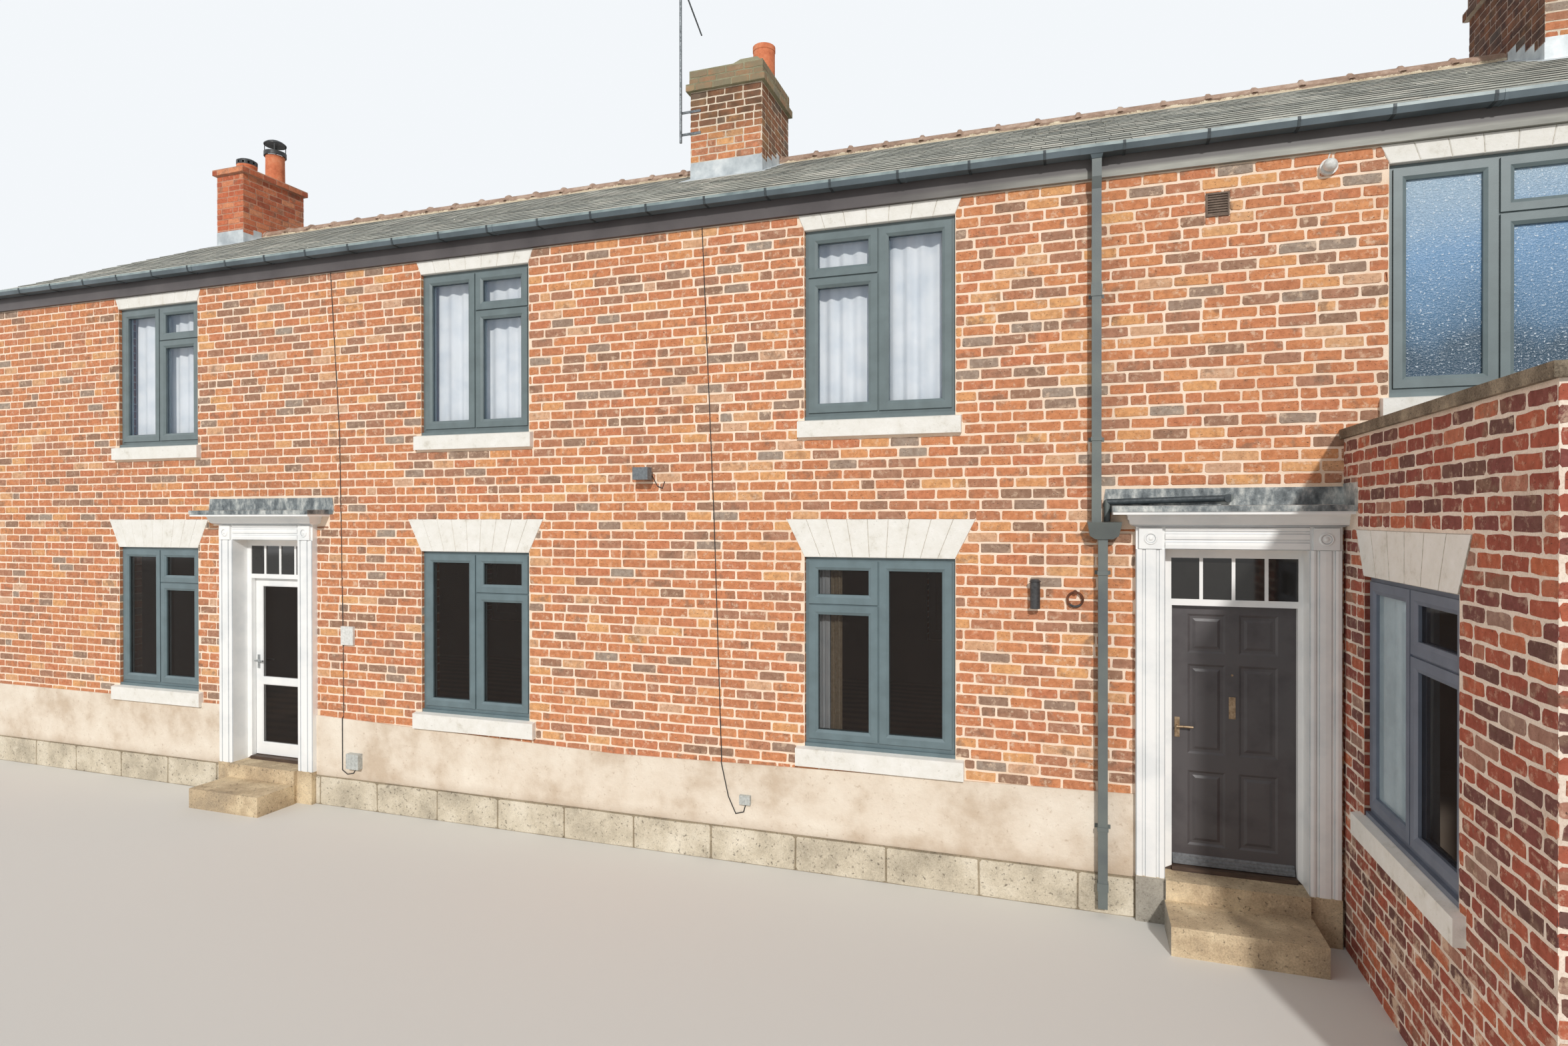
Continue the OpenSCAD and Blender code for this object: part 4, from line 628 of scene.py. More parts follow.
def render_top(x):
    """The render's top edge falls to the party wall and climbs again."""
    if x < DOOR_X[0]:
        return RENDER_LEFT
    if x < 0:
        return RENDER_MID + (RENDER_LEFT - RENDER_MID) * x / DOOR_X[0]
    return RENDER_MID + (RENDER_RIGHT - RENDER_MID) * x / DOOR_X[1]


def brickwork(span, rise, seed, holes=(), bed=BED):
    """Bricks laid over a wall's face, cut round its holes."""
    return courses(span, rise, BRICK, bed, holes, headers=HEADER_EVERY, wander=BRICK_WANDER, seed=seed)


VENT = (4.873, 5.027, 5.171, 5.342)
# What covers the bricks at a doorway, as half width, foot and top: the surround, its hood, and the
# lead turned up behind the hood
DOORWAY_COVERS = ((SURROUND_HALF - 0.004, 0, 2.92), (0.827, 2.90, 3.03), (0.887, 3.03, 3.20))
# What of the front wall lies inside the wing
BEHIND_WING = (WING_X + OFF_CORNER, ROW_X1 - OFF_CORNER, 0, 3.345)
front_holes = opening_holes(front_openings) + [VENT]
front_holes += [(x - half, x + half, z0, z1) for x in DOOR_X for half, z0, z1 in DOORWAY_COVERS]
front_holes.append(BEHIND_WING)
# The bricks start a little over the render's top edge
OVER_RENDER = 0.01
front_bricks = [r for r in brickwork((ROW_X0, ROW_X1), (FOOTING_TOP, FASCIA_Z0), 11, front_holes)
                if r[3] > render_top((r[0] + r[1]) / 2) + OVER_RENDER or r[0] > DOOR_X[1]]
back_bricks = brickwork((ROW_X0, ROW_X1), (FOOTING_TOP, FASCIA_Z0), 12, opening_holes(back_openings))
BRICK_WEAR = (0.0045, 0.003, 0.0026, 0.009)
laid_blocks("front_wall_bricks", [FRONT + (front_bricks,)], old_brick, "brick", *BRICK_WEAR, 21)
laid_blocks("back_wall_bricks", [BACK + (back_bricks,)], old_brick, "brick", *BRICK_WEAR, 22)

EAVES_Z = 5.8
RIDGE_Y = DEPTH / 2
RIDGE_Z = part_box("front_roof")[1].z
ROOF_RISE = (RIDGE_Z - EAVES_Z) / RIDGE_Y
ROOF_PLUMB = 0.068


def under_roof(y):
    """How high the roof's underside is, so far back from the front."""
    return EAVES_Z - ROOF_PLUMB + ROOF_RISE * (RIDGE_Y - abs(y - RIDGE_Y))


# How far the top bricks of the ends may reach over the roof's underside
TUCKED_UP = 0.05
end_bricks = [r for r in brickwork((0, DEPTH), (FOOTING_TOP, under_roof(RIDGE_Y)), 13)
              if r[3] < min(under_roof(r[0]), under_roof(r[1])) + TUCKED_UP]
laid_blocks("left_gable_bricks", [LEFT_END + (end_bricks,)], old_brick, "brick", *BRICK_WEAR, 23)
laid_blocks("right_end_bricks", [RIGHT_END + (end_bricks,)], old_brick, "brick", *BRICK_WEAR, 24)

WING_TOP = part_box("wing_left_wall")[1].z
WING_SIDE = ((WING_X, 0, 0), (0, 1, 0), (-1, 0, 0))
WING_FRONT = ((0, WING_Y0, 0), (1, 0, 0), (0, -1, 0))
WING_MIDDLE = (WING_X + ROW_X1) / 2
WING_TRIM = (0.300, 0.150, 0.150, 0.080)
WING_HALF = 0.708
WING_SILL = 1.054
WING_WINDOW_H = 1.550
WING_WINDOW_Y = -1.150
WING_BED = 0.017
WING_WEAR = (0.0012, 0.0008, 0.004, 0.014)
# Where the right door's hood ends against the wing's side
HOOD_END = (-0.305, 0.0, 2.90, 3.22)
side_holes = opening_holes([(WING_WINDOW_Y, WING_SILL, WING_TRIM)], WING_HALF, WING_WINDOW_H, 0.0)
side_holes.append(HOOD_END)
face_holes = opening_holes([(WING_MIDDLE, WING_SILL, WING_TRIM)], WING_HALF, WING_WINDOW_H, 0.0)
wing_faces = [face + (brickwork(span, (0, WING_TOP), seed, holes, WING_BED),)
              for face, span, seed, holes in ((WING_SIDE, (WING_Y0, 0), 14, side_holes),
                                              (WING_FRONT, (WING_X, ROW_X1), 15, face_holes),
                                              (RIGHT_END, (WING_Y0, 0), 16, ()))]
laid_blocks("wing_bricks", wing_faces, red_brick, "brick", *WING_WEAR, 25)

# Floors.
# Plain boards on joists, of which nothing but the top and the soffit can be seen through the windows.
boards = surface("floor_boards", "#5a4634", 0.6)
board_tree = boards.node_tree
grain = add(board_tree, "ShaderNodeTexWave", {"bands_direction": "Y"}, Vector=place(board_tree), Scale=1.1,
            Distortion=3.0, Detail=3.0)
coloured(boards, ramp(board_tree, grain.outputs["Fac"], (0.0, "#453526"), (1.0, "#66503b")))
for name in ("ground_floors", "first_floors"):
    finish_node(name, boards)

# Render on the walls' foot.
# Sand and cement, trowelled on from the footing to the sills and painted a pale pinkish cream.
wall_paint = surface("render_paint", "#e4d0b8", 0.9, specular=0.3)
paint_tree = wall_paint.node_tree
paint_where = place(paint_tree)
patches = ramp(paint_tree, noise(paint_tree, paint_where, 1.7, 7.0, 0.62), (0.36, "#cfbca6"),
               (0.50, "#e5d7c5"), (0.66, "#efe4d4"))
scuffs = ramp(paint_tree, noise(paint_tree, paint_where, 24.0, 5.0, 0.72), (0.60, 0.0), (0.70, 0.55))
ragged = sums(paint_tree, "MULTIPLY", noise(paint_tree, paint_where, 5.0, 5.0), 0.12)
splash_height = sums(paint_tree, "ADD", reading(paint_tree, paint_where, "Z"), ragged)
splash = ramp(paint_tree, splash_height, (0.33, 0.55), (0.46, 0.0))
paint = tint(paint_tree, scuffs, patches, "#b39c83")
coloured(wall_paint, tint(paint_tree, splash, paint, "#bda891"))
relief(wall_paint, noise(paint_tree, paint_where, 22.0, 6.0, 0.68), 0.010)
finish_node("wall_render", wall_paint)

# Lintels and sills.
# Each lintel is a flat arch of wedge-shaped stones; each sill is one stone that slopes to the front.
# All are painted off-white, and the joints show through the paint.
painted_stone = surface("painted_stone", "#e4e1d8", 0.7, specular=0.35)
stone_tree = painted_stone.node_tree
stone_where = place(stone_tree)
wear = ramp(stone_tree, noise(stone_tree, stone_where, 6.5, 7.0, 0.7), (0.30, "#d3cec2"), (0.42, "#e8e5dd"),
            (0.72, "#f3f1ec"))
grime = ramp(stone_tree, noise(stone_tree, stone_where, 42.0, 4.0, 0.7), (0.64, 0.0), (0.74, 0.5))
coloured(painted_stone, tint(stone_tree, grime, wear, "#8b8476"))
relief(painted_stone, noise(stone_tree, stone_where, 48.0, 5.0, 0.68), 0.004)
joint_grime = clouded("joint_grime", "#a79f91", 0.9, (30.0, 4.0), (0.35, "#a59d8f"), (0.65, "#d0cabe"))
finish_node("window_sills", painted_stone)
LINTEL_PROUD = 0.008
LINTEL_DEPTH = 0.110
# How far the joints' backing keeps inside the arch, sideways, upward and at its back, and how far the
# stones keep from its foot and top
BACKING_SIDE = 0.004
BACKING_IN = 0.002
STONE_IN = 0.001
ARRIS = 0.004
DIAGONAL = 1.4


def prism(points, quads, outline, face, y0, y1, ease):
    """Adds a block with an upright outline of four corners, its front arrises eased."""
    origin, along, outward = (Vector(v) for v in face)
    middle = sum((Vector((u, z)) for u, z in outline), Vector((0, 0))) / 4
    first = len(points)
    for depth, draw_in in ((y1, 0.0), (y0 - ease, 0.0), (y0, ease)):
        for u, z in outline:
            to_middle = (middle - Vector((u, z))).normalized() * draw_in * DIAGONAL
            at = origin + along * (u + to_middle.x) + UP * (z + to_middle.y) + outward * depth
            points.append(tuple(at))
    flip = along.cross(UP).dot(outward) < 0
    rings = [(4 * ring + k, 4 * ring + (k + 1) % 4, 4 * ring + 4 + (k + 1) % 4, 4 * ring + 4 + k)
             for ring in (0, 1) for k in range(4)]
    for quad in rings + [(8, 9, 10, 11), (3, 2, 1, 0)]:
        order = quad[::-1] if flip else quad
        quads.append(tuple(first + k for k in order))


def mesh_piece(name, points, faces, made, smooth=False):
    """A piece from its points and faces, in one finish."""
    mesh = bpy.data.meshes.new(name)
    mesh.from_pydata(points, [], faces)
    mesh.materials.append(made)
    if smooth:
        mesh.polygons.foreach_set("use_smooth", [True] * len(mesh.polygons))
    return new_piece(name, mesh)


def lintel_stones(points, quads, backing, face, x, head, half, trim, count, gap=0.0035, sunk=0.005):
    """A flat arch of wedges whose joints all lean to one point, and the dirty joints behind them."""
    height, splay = trim[:2]
    top_half = half + splay
    foot, top = head + BACKING_IN, head + height - BACKING_IN
    prism(backing[0], backing[1],
          [(x - half + BACKING_SIDE, foot), (x + half - BACKING_SIDE, foot),
           (x + top_half - BACKING_SIDE, top), (x - top_half + BACKING_SIDE, top)],
          face, LINTEL_PROUD - sunk, -LINTEL_DEPTH + BACKING_IN, 0.0)
    foot, top = head + STONE_IN, head + height - STONE_IN
    for i in range(count):
        low_a, low_b = (x - half + 2 * half * t / count for t in (i, i + 1))
        top_a, top_b = (x - top_half + 2 * top_half * t / count for t in (i, i + 1))
        prism(points, quads,
              [(low_a + gap / 2, foot), (low_b - gap / 2, foot),
               (top_b - gap / 2, top), (top_a + gap / 2, top)],
              face, LINTEL_PROUD, -LINTEL_DEPTH, ARRIS)


# Wedges in a lintel: upstairs, on the ground floor and on the wing, whose joints are wide and filled
UPPER_WEDGES = 7
GROUND_WEDGES = 9
WING_WEDGES = 6
WING_GAP = (0.009, 0.0015)
arch_points, arch_quads, behind = [], [], ([], [])
for openings, face in ((front_openings, FRONT), (back_openings, BACK)):
    for x, sill, trim in openings:
        wedges = UPPER_WEDGES if trim is UPPER_TRIM else GROUND_WEDGES
        lintel_stones(arch_points, arch_quads, behind, face, x, sill + WINDOW_H, WINDOW_HALF, trim, wedges)
for x, face in ((WING_WINDOW_Y, WING_SIDE), (WING_MIDDLE, WING_FRONT)):
    lintel_stones(arch_points, arch_quads, behind, face, x, WING_SILL + WING_WINDOW_H, WING_HALF, WING_TRIM,
                  WING_WEDGES, *WING_GAP)
arches = mesh_piece("lintel_stones", arch_points, arch_quads, painted_stone)
mesh_piece("lintel_joints", behind[0], behind[1], joint_grime)
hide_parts("window_lintels")

# Windows.
# Foiled plastic frames with a bevelled bead round each double-glazed pane, set a little back in the
# bricks: slate blue on the ground floor, greyer upstairs. One upstairs window has rippled glass.
frame_foil = surface("frame_foil", "#56697a", 0.42)
foil_tree = frame_foil.node_tree
foil_where = place(foil_tree)
foil_height = sums(foil_tree, "DIVIDE", reading(foil_tree, foil_where, "Z"), 7.0)
upstairs = ramp(foil_tree, foil_height, (0.42, 0.0), (0.46, 1.0))
foil = tint(foil_tree, upstairs, "#6d7f84", "#6c7a7c")
on_wing = maths(foil_tree, "LESS_THAN", reading(foil_tree, foil_where, "Y"), -0.3)
foil = tint(foil_tree, on_wing, foil, "#737b8a")
foil_cloud = ramp(foil_tree, noise(foil_tree, foil_where, 7.0, 4.0), (0.3, "#c9c9c9"), (0.7, "#ffffff"))
coloured(frame_foil, tint(foil_tree, 0.5, foil, foil_cloud, "MULTIPLY"))
relief(frame_foil, noise(foil_tree, foil_where, 260.0, 2.0), 0.0006)
finish_node("window_frames", frame_foil)


def pane(name, colour, alpha):
    """Glass under a thin film of dust, with as much of the room showing through as its alpha leaves."""
    made = surface(name, colour, 0.05, specular=0.6)
    tree = made.node_tree
    film = ramp(tree, noise(tree, place(tree), 3.0, 6.0, 0.65), (0.35, "#d0d0d0"), (0.65, "#ffffff"))
    coloured(made, tint(tree, 0.6, colour, film, "MULTIPLY"))
    shader_of(made).inputs["Alpha"].default_value = alpha
    return made


# This pane's dark brown tint is painted shade: it darkens the rooms seen through the ground floor's windows
# and the left door's glass.
painted_shade_pane = pane("painted_shade_pane", "#261c17", 0.36)
# This pane's pale blue tint is a painted reflection of the sky over the upstairs glass.
painted_sky_reflection_pane = pane("painted_sky_reflection_pane", "#8fabd2", 0.08)
# This pane's pale blue-white colour is painted light: it stands for the sunlit net behind the wing's side
# window.
painted_lit_net_pane = pane("painted_lit_net_pane", "#cce2ec", 0.62)
# This opaque dark pane is painted shade: it stands for the unlit rooms behind the back windows and the
# fanlights.
painted_dark_room_pane = pane("painted_dark_room_pane", "#2e2d2c", 1.0)
rippled_pane = surface("rippled_pane", "#6f8fae", 0.3, specular=0.4)
ripple_tree = rippled_pane.node_tree
ripple_where = place(ripple_tree)
# The rippled glass's colour is a painted reflection: a deep blue at the foot that grows paler towards the
# head.
painted_reflection_fall = add(ripple_tree, "ShaderNodeMapRange", Value=reading(ripple_tree, ripple_where, "Z"),
                  i1=UPPER_SILL, i2=UPPER_SILL + WINDOW_H).outputs[0]
ripples = noise(ripple_tree, stretched(ripple_tree, ripple_where, 1.0, 1.0, 1.5), 55.0, 2.0, 0.6)
painted_reflection_drift = sums(ripple_tree, "MULTIPLY", noise(ripple_tree, ripple_where, 2.5, 3.0), 0.35)
painted_reflection_fall = sums(ripple_tree, "SUBTRACT", painted_reflection_fall, painted_reflection_drift)
painted_reflection_tone = ramp(ripple_tree, painted_reflection_fall, (0.0, "#3c5569"), (0.16, "#557897"), (0.42, "#7298bd"),
                   (0.8, "#9db3c4"))
# Painted glints on the ripples' crests.
painted_glint = ramp(ripple_tree, ripples, (0.61, 0.0), (0.68, 0.85))
coloured(rippled_pane, tint(ripple_tree, painted_glint, painted_reflection_tone, "#dfe8f0"))
relief(rippled_pane, ripples, 0.010)
finish_node("window_glass", painted_shade_pane)
UPSTAIRS = 3.5


def behind_nets(middle, _):
    """The wing's side window, as far as its net hides the room."""
    return -0.92 < middle.y < -0.3 and middle.x < 6.5


def over_wing(middle, _):
    """The rippled window, upstairs over the wing."""
    return middle.z > UPSTAIRS and middle.x > 6.0 and middle.y < 1


def unlit(middle, _):
    """The back windows, and the fanlights over the doors, whose glass is painted dark as the rooms' shade."""
    return middle.y > 5 or (middle.z > 1 and min(abs(middle.x - x) for x in DOOR_X) < 0.5)


finish_faces("window_glass", painted_sky_reflection_pane, lambda middle, _: middle.z > UPSTAIRS)
finish_faces("window_glass", painted_lit_net_pane, behind_nets)
finish_faces("window_glass", rippled_pane, over_wing)
finish_faces("window_glass", painted_dark_room_pane, unlit)
finish_node("left_door_glass", painted_shade_pane)

# Nets and a drape on their rods.
# White polyester nets are gathered on thin enamelled rods across the reveals and hang in soft folds
# to just over the sills. On the ground floor they are drawn to the side, one with a linen drape.


def worn_surface(name, low, high, roughness, metallic=0.0, grain=40.0):
    """Paint, plastic or metal that has dulled unevenly, with fine scuffs."""
    made = surface(name, high, roughness, metallic)
    tree = made.node_tree
    where = place(tree)
    scuffs = noise(tree, where, grain, 5.0, 0.65)
    coloured(made, ramp(tree, scuffs, (0.35, low), (0.60, high)))
    dulled = ramp(tree, scuffs, (0.35, roughness + 0.15), (0.60, roughness))
    tree.links.new(dulled, shader_of(made).inputs["Roughness"])
    relief(made, noise(tree, where, 5.0 * grain, 3.0), 0.0004)
    return made


rod_enamel = worn_surface("rod_enamel", "#d6d6d1", "#e8e8e4", 0.35)
finish_node("curtain_rods", rod_enamel)
net_cloth = clouded("net_cloth", "#eef2f4", 0.95, (5.0, 3.0), (0.3, "#e2e8ec"), (0.6, "#f3f6f7"),
                    specular=0.2)
linen = clouded("linen_drape", "#b9a88f", 0.95, (40.0, 4.0), (0.3, "#a8967c"), (0.7, "#c6b69d"), specular=0.2)
# How far the cloths hang behind the wall's face, over the sill and under the head, and off the jambs
NET_IN = 0.165
HEM_OVER = 0.030
ROD_UNDER = 0.046
NET_EDGE = 0.024
# Rows of faces down a cloth, and columns for each metre across, with the least that one has
CLOTH_ROWS = 16
CLOTH_COLUMNS = 90
LEAST_COLUMNS = 36


def hung_cloth(name, face, u0, u1, sill, height, folds, deep, seed, made=net_cloth, far=NET_IN):
    """One cloth hung from its rod: a sheet whose folds wander a little and open out to its hem."""
    draw = random.Random(seed)
    phases = [draw.uniform(0, math.tau) for _ in range(3)]
    across = max(LEAST_COLUMNS, int(CLOTH_COLUMNS * (u1 - u0)))
    foot, top = sill + HEM_OVER, sill + height - ROD_UNDER
    origin, along, outward = (Vector(v) for v in face)
    points = []
    for j in range(CLOTH_ROWS + 1):
        fall = j / CLOTH_ROWS
        for i in range(across + 1):
            t = i / across
            wave = math.sin(math.tau * folds * t + phases[0] + 0.8 * math.sin(math.tau * 2 * t + phases[1]))
            bulge = (0.62 + 0.38 * fall) * deep * wave + 0.003 * math.sin(math.tau * 3 * t + phases[2])
            at = origin + along * (u0 + (u1 - u0) * t) + UP * (top + (foot - top) * fall)
            points.append(tuple(at - outward * (far + bulge)))
    wide = across + 1
    quads = [(j * wide + i, j * wide + i + 1, (j + 1) * wide + i + 1, (j + 1) * wide + i)
             for j in range(CLOTH_ROWS) for i in range(across)]
    piece = mesh_piece(name, points, quads, made, smooth=True)
    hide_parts("net_curtains")


for i, x in enumerate(WINDOW_X[:3]):
    hung_cloth("net_%d" % (i + 1), FRONT, x - WINDOW_HALF + NET_EDGE, x + WINDOW_HALF - NET_EDGE, UPPER_SILL,
               WINDOW_H, 9, 0.018, 31 + i)
drawn_left = WINDOW_X[2] - WINDOW_HALF + NET_EDGE
hung_cloth("net_4", FRONT, drawn_left, drawn_left + 0.155, GROUND_SILL, WINDOW_H, 4, 0.016, 35, far=0.163)
hung_cloth("net_5", WING_SIDE, WING_WINDOW_Y + 0.03, WING_WINDOW_Y + WING_HALF - NET_EDGE, WING_SILL,
           WING_WINDOW_H, 7, 0.015, 36)
hung_cloth("drape", FRONT, drawn_left + 0.165, drawn_left + 0.265, GROUND_SILL, WINDOW_H, 3, 0.014, 37, linen,
           0.167)

# Roof.
# Thin grey-green slates are nailed in courses over boards, the joints of each course over the middles
# of the one below. Clay ridge tiles lie in a cream mortar bed along the top.
slate_stone = surface("slate_stone", "#7b827c", 0.7, specular=0.3)
slate_tree = slate_stone.node_tree
slate_where = place(slate_tree)
# The slates' edge faces carry tone 0 and take the darkest colour: painted shade along the foot of each
# course. Their top faces take random tones.
slate_tone_and_edge_shade = ramp(slate_tree, attribute(slate_tree, "tone"), (0.0, "#40413b"), (0.04, "#40413b"),
                  (0.06, "#a6a8a0"), (0.35, "#bbbcb1"), (0.7, "#cecec2"), (1.0, "#dfdbce"))
slate_stain = ramp(slate_tree, noise(slate_tree, slate_where, 1.3, 5.0), (0.3, "#a8a8a8"), (0.7, "#ffffff"))
slate_base = tint(slate_tree, 0.6, slate_tone_and_edge_shade, slate_stain, "MULTIPLY")
lichen = ramp(slate_tree, noise(slate_tree, slate_where, 19.0, 6.0, 0.75), (0.58, 0.0), (0.70, 0.5))
slate_base = tint(slate_tree, lichen, slate_base, "#b3ac93")
droppings = ramp(slate_tree, noise(slate_tree, slate_where, 34.0, 2.0, 0.5), (0.70, 0.0), (0.73, 0.9))
droppings = sums(slate_tree, "MULTIPLY", droppings, ramp(slate_tree, noise(slate_tree, slate_where, 0.8, 2.0),
                                                        (0.5, 0.0), (0.6, 1.0)))
coloured(slate_stone, tint(slate_tree, droppings, slate_base, "#e9e6d8"))
relief(slate_stone, noise(slate_tree, slate_where, 30.0, 4.0, 0.7), 0.003)
under_slates = clouded("under_slates", "#34352f", 0.9, (20.0, 4.0), (0.3, "#2b2c27"), (0.7, "#3f403a"))
for name in ("front_roof", "back_roof"):
    finish_node(name, under_slates)
SLATE = (0.262, 0.200)
# A slate's thickness, its tail's lift and how much that varies, its head's lift, and half its joint
SLATE_THICK = 0.0058
SLATE_LIFT = (0.0062, 0.0022)
SLATE_HEAD = 0.0012
SLATE_GAP = 0.0024
# How far the lead reaches round a stack, and down the roof in front of it
LEAD_SIDE = 0.088
LEAD_APRON = 0.158
ROOF_X0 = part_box("front_roof")[0].x
ROOF_X1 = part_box("front_roof")[1].x
EAVES_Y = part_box("front_roof")[0].y
STACKS = {"left": (ROW_X0, ROW_X0 + 0.550, RIDGE_Y - 0.440, RIDGE_Y + 0.660),
          "middle": (-0.465, 0.465, RIDGE_Y - 0.750, RIDGE_Y + 0.240),
          "right": (ROW_X1 - 0.800, ROW_X1, RIDGE_Y - 0.800, RIDGE_Y + 0.730)}


def slates(name, back, seed):
    """One half of the roof. Plan rectangles (x0, x1, y0, y1) are cut round the stacks and their lead."""
    draw = np.random.default_rng(seed)
    holes = []
    for x0, x1, y0, y1 in STACKS.values():
        if back:
            y0, y1 = DEPTH - y1, DEPTH - y0
        holes.append((x0 - LEAD_SIDE, x1 + LEAD_SIDE, y0 - (LEAD_SIDE if back else LEAD_APRON), y1 + 1))
    rects = courses((ROOF_X0, ROOF_X1), (EAVES_Y - 0.004, RIDGE_Y - 0.08), SLATE, 0.0, holes, wander=0.012,
                    seed=seed)
    points, quads, tones = [], [], []
    plumb = math.hypot(1, ROOF_RISE)
    for x0, x1, y0, y1 in rects:
        lift = (SLATE_LIFT[0] + SLATE_LIFT[1] * draw.random()) * plumb
        shake = (draw.random(4) - 0.5) * 0.007
        low, high = y0 + shake[0], y1 + 0.004
        corners = []
        for x, y, up in ((x0 + SLATE_GAP, low, lift + shake[1] * 0.4), (x1 - SLATE_GAP, low + shake[2], lift),
                         (x1 - SLATE_GAP, high, SLATE_HEAD), (x0 + SLATE_GAP, high, SLATE_HEAD)):
            corners.append((x, y, EAVES_Z + ROOF_RISE * y + up))
        under = [(x, y, z - SLATE_THICK * plumb) for x, y, z in corners[:2]]
        first = len(points)
        both = corners + under
        if back:
            both = [(x, DEPTH - y, z) for x, y, z in both]
        points += both
        # A slate's top face gets its own random tone; its edge faces get 0, the painted shade under its tail.
        own = 0.06 + 0.94 * float(draw.random())
        for f in ((0, 1, 2, 3), (4, 5, 1, 0), (4, 0, 3), (5, 2, 1)):
            quads.append(tuple(first + k for k in (f[::-1] if back else f)))
            tones.append(own if f == (0, 1, 2, 3) else 0.0)
    piece = mesh_piece(name, points, quads, slate_stone)
    piece.data.attributes.new("tone", "FLOAT", "FACE").data.foreach_set("value", tones)


slates("front_slates", False, 41)
slates("back_slates", True, 42)


def clay_surface(name, low, middle, high):
    """Fired clay with soot and lichen in patches."""
    made = surface(name, middle, 0.8, specular=0.3)
    tree = made.node_tree
    where = place(tree)
    base = ramp(tree, noise(tree, where, 5.0, 7.0, 0.68), (0.34, low), (0.5, middle), (0.68, high))
    specks = ramp(tree, noise(tree, where, 55.0, 3.0, 0.7), (0.60, 0.0), (0.70, 0.5))
    coloured(made, tint(tree, specks, base, "#5b463d"))
    relief(made, noise(tree, where, 50.0, 4.0, 0.7), 0.003)
    return made


ridge_clay = clay_surface("ridge_clay", "#87705f", "#ab8f7d", "#cbb5a3")
ridge_mortar = mortar_surface("ridge_mortar", "#d8c8ae", "#a8977c")
TILE_HALF = 0.112
TILE_BED = 0.042
TILE_H = 0.082
TILE_L = 0.452
BED_Z = RIDGE_Z - ROOF_RISE * TILE_HALF
torn_bed = surface("torn_bed", "#d8c8ae", 0.9, specular=0.2)
torn_tree = torn_bed.node_tree
torn_where = place(torn_tree)
torn_height = add(torn_tree, "ShaderNodeMapRange", {"clamp": False},
                  Value=reading(torn_tree, torn_where, "Z"), i1=BED_Z, i2=BED_Z + TILE_BED).outputs[0]
torn_line = ramp(torn_tree, noise(torn_tree, torn_where, 7.0, 5.0, 0.7), (0.36, 0.0), (0.62, 1.0))
torn_edge = ramp(torn_tree, sums(torn_tree, "SUBTRACT", torn_line, torn_height), (0.02, 0.0), (0.10, 1.0))
torn_clay = ramp(torn_tree, noise(torn_tree, torn_where, 6.0, 6.0, 0.68), (0.34, "#806a5b"),
                 (0.66, "#b89f8d"))
torn_cream = ramp(torn_tree, noise(torn_tree, torn_where, 20.0, 5.0, 0.7), (0.34, "#b5a68c"),
                  (0.6, "#eadcc3"))
coloured(torn_bed, tint(torn_tree, torn_edge, torn_clay, torn_cream))
relief(torn_bed, noise(torn_tree, torn_where, 60.0, 4.0, 0.7), 0.004)
finish_node("ridge_tiles", ridge_clay)
finish_faces("ridge_tiles", torn_bed, lambda middle, _: abs(abs(middle.y - RIDGE_Y) - TILE_HALF) < 0.004)


def mortar_bead(points, quads, x0, x1, side, seed):
    """A rough fillet of mortar along one side of the ridge tiles, thicker here and there."""
    draw = random.Random(seed)
    count = int((x1 - x0) / 0.028)
    thick = 0.012
    first = len(points)
    for i in range(count + 1):
        x = x0 + (x1 - x0) * i / count
        thick += draw.uniform(-0.010, 0.010)
        thick = min(max(thick, 0.0), 0.028)
        reach = TILE_HALF + 0.010 + thick
        foot = RIDGE_Z - ROOF_RISE * reach
        top = BED_Z + 0.004 + 0.7 * thick
        for dy, z in ((reach, foot + 0.002), (reach - 0.35 * thick, foot + 0.010 + 0.5 * thick),
                      (TILE_HALF - 0.002, top)):
            points.append((x, RIDGE_Y + side * dy, z))
    for i in range(count):
        for k in (0, 1):
            a = first + 3 * i + k
            quads.append((a, a + 3, a + 4, a + 1) if side < 0 else (a + 1, a + 4, a + 3, a))


# The ridge's two runs, from stack to stack
RIDGE_RUNS = ((STACKS["left"][1], STACKS["middle"][0]), (STACKS["middle"][1], STACKS["right"][0]))
BEAD_SHORT = 0.01
bead_points, bead_quads = [], []
for index, (x0, x1) in enumerate(RIDGE_RUNS):
    for side in (-1, 1):
        mortar_bead(bead_points, bead_quads, x0 + BEAD_SHORT, x1 - BEAD_SHORT, side, 61 + index + side)
mesh_piece("ridge_bedding", bead_points, bead_quads, ridge_mortar, smooth=True)


def ridge_outline(grow):
    """A ridge tile's outside from one side of its bed to the other."""
    half = [(1.0, 0.0), (0.75, 0.5 * TILE_H), (0.35, 0.9 * TILE_H)]
    right = [(TILE_HALF * a + (grow if b == 0 else 0), b + (grow if b else 0)) for a, b in half]
    return right + [(0.0, TILE_H + grow)] + [(-y, z) for y, z in reversed(right)]


roll_points, roll_quads = [], []
roll_draw = random.Random(71)
for x0, x1 in RIDGE_RUNS:
    tile_count = round((x1 - x0) / TILE_L)
    for i in range(1, tile_count):
        at = x0 + i * (x1 - x0) / tile_count
        first = len(roll_points)
        size = roll_draw.uniform(0.018, 0.028)
        for dx, grow in ((-0.012, 0.0), (0.004, size), (0.036, size * 0.9), (0.058, 0.0)):
            for y, z in ridge_outline(grow):
                roll_points.append((at + dx, RIDGE_Y + y + roll_draw.uniform(-0.002, 0.002),
                                    BED_Z + TILE_BED + z + roll_draw.uniform(-0.002, 0.002)))
        for ring in range(3):
            for k in range(6):
                a = first + 7 * ring + k
                roll_quads.append((a, a + 7, a + 8, a + 1))
mesh_piece("ridge_rolls", roll_points, roll_quads, ridge_clay, smooth=True)

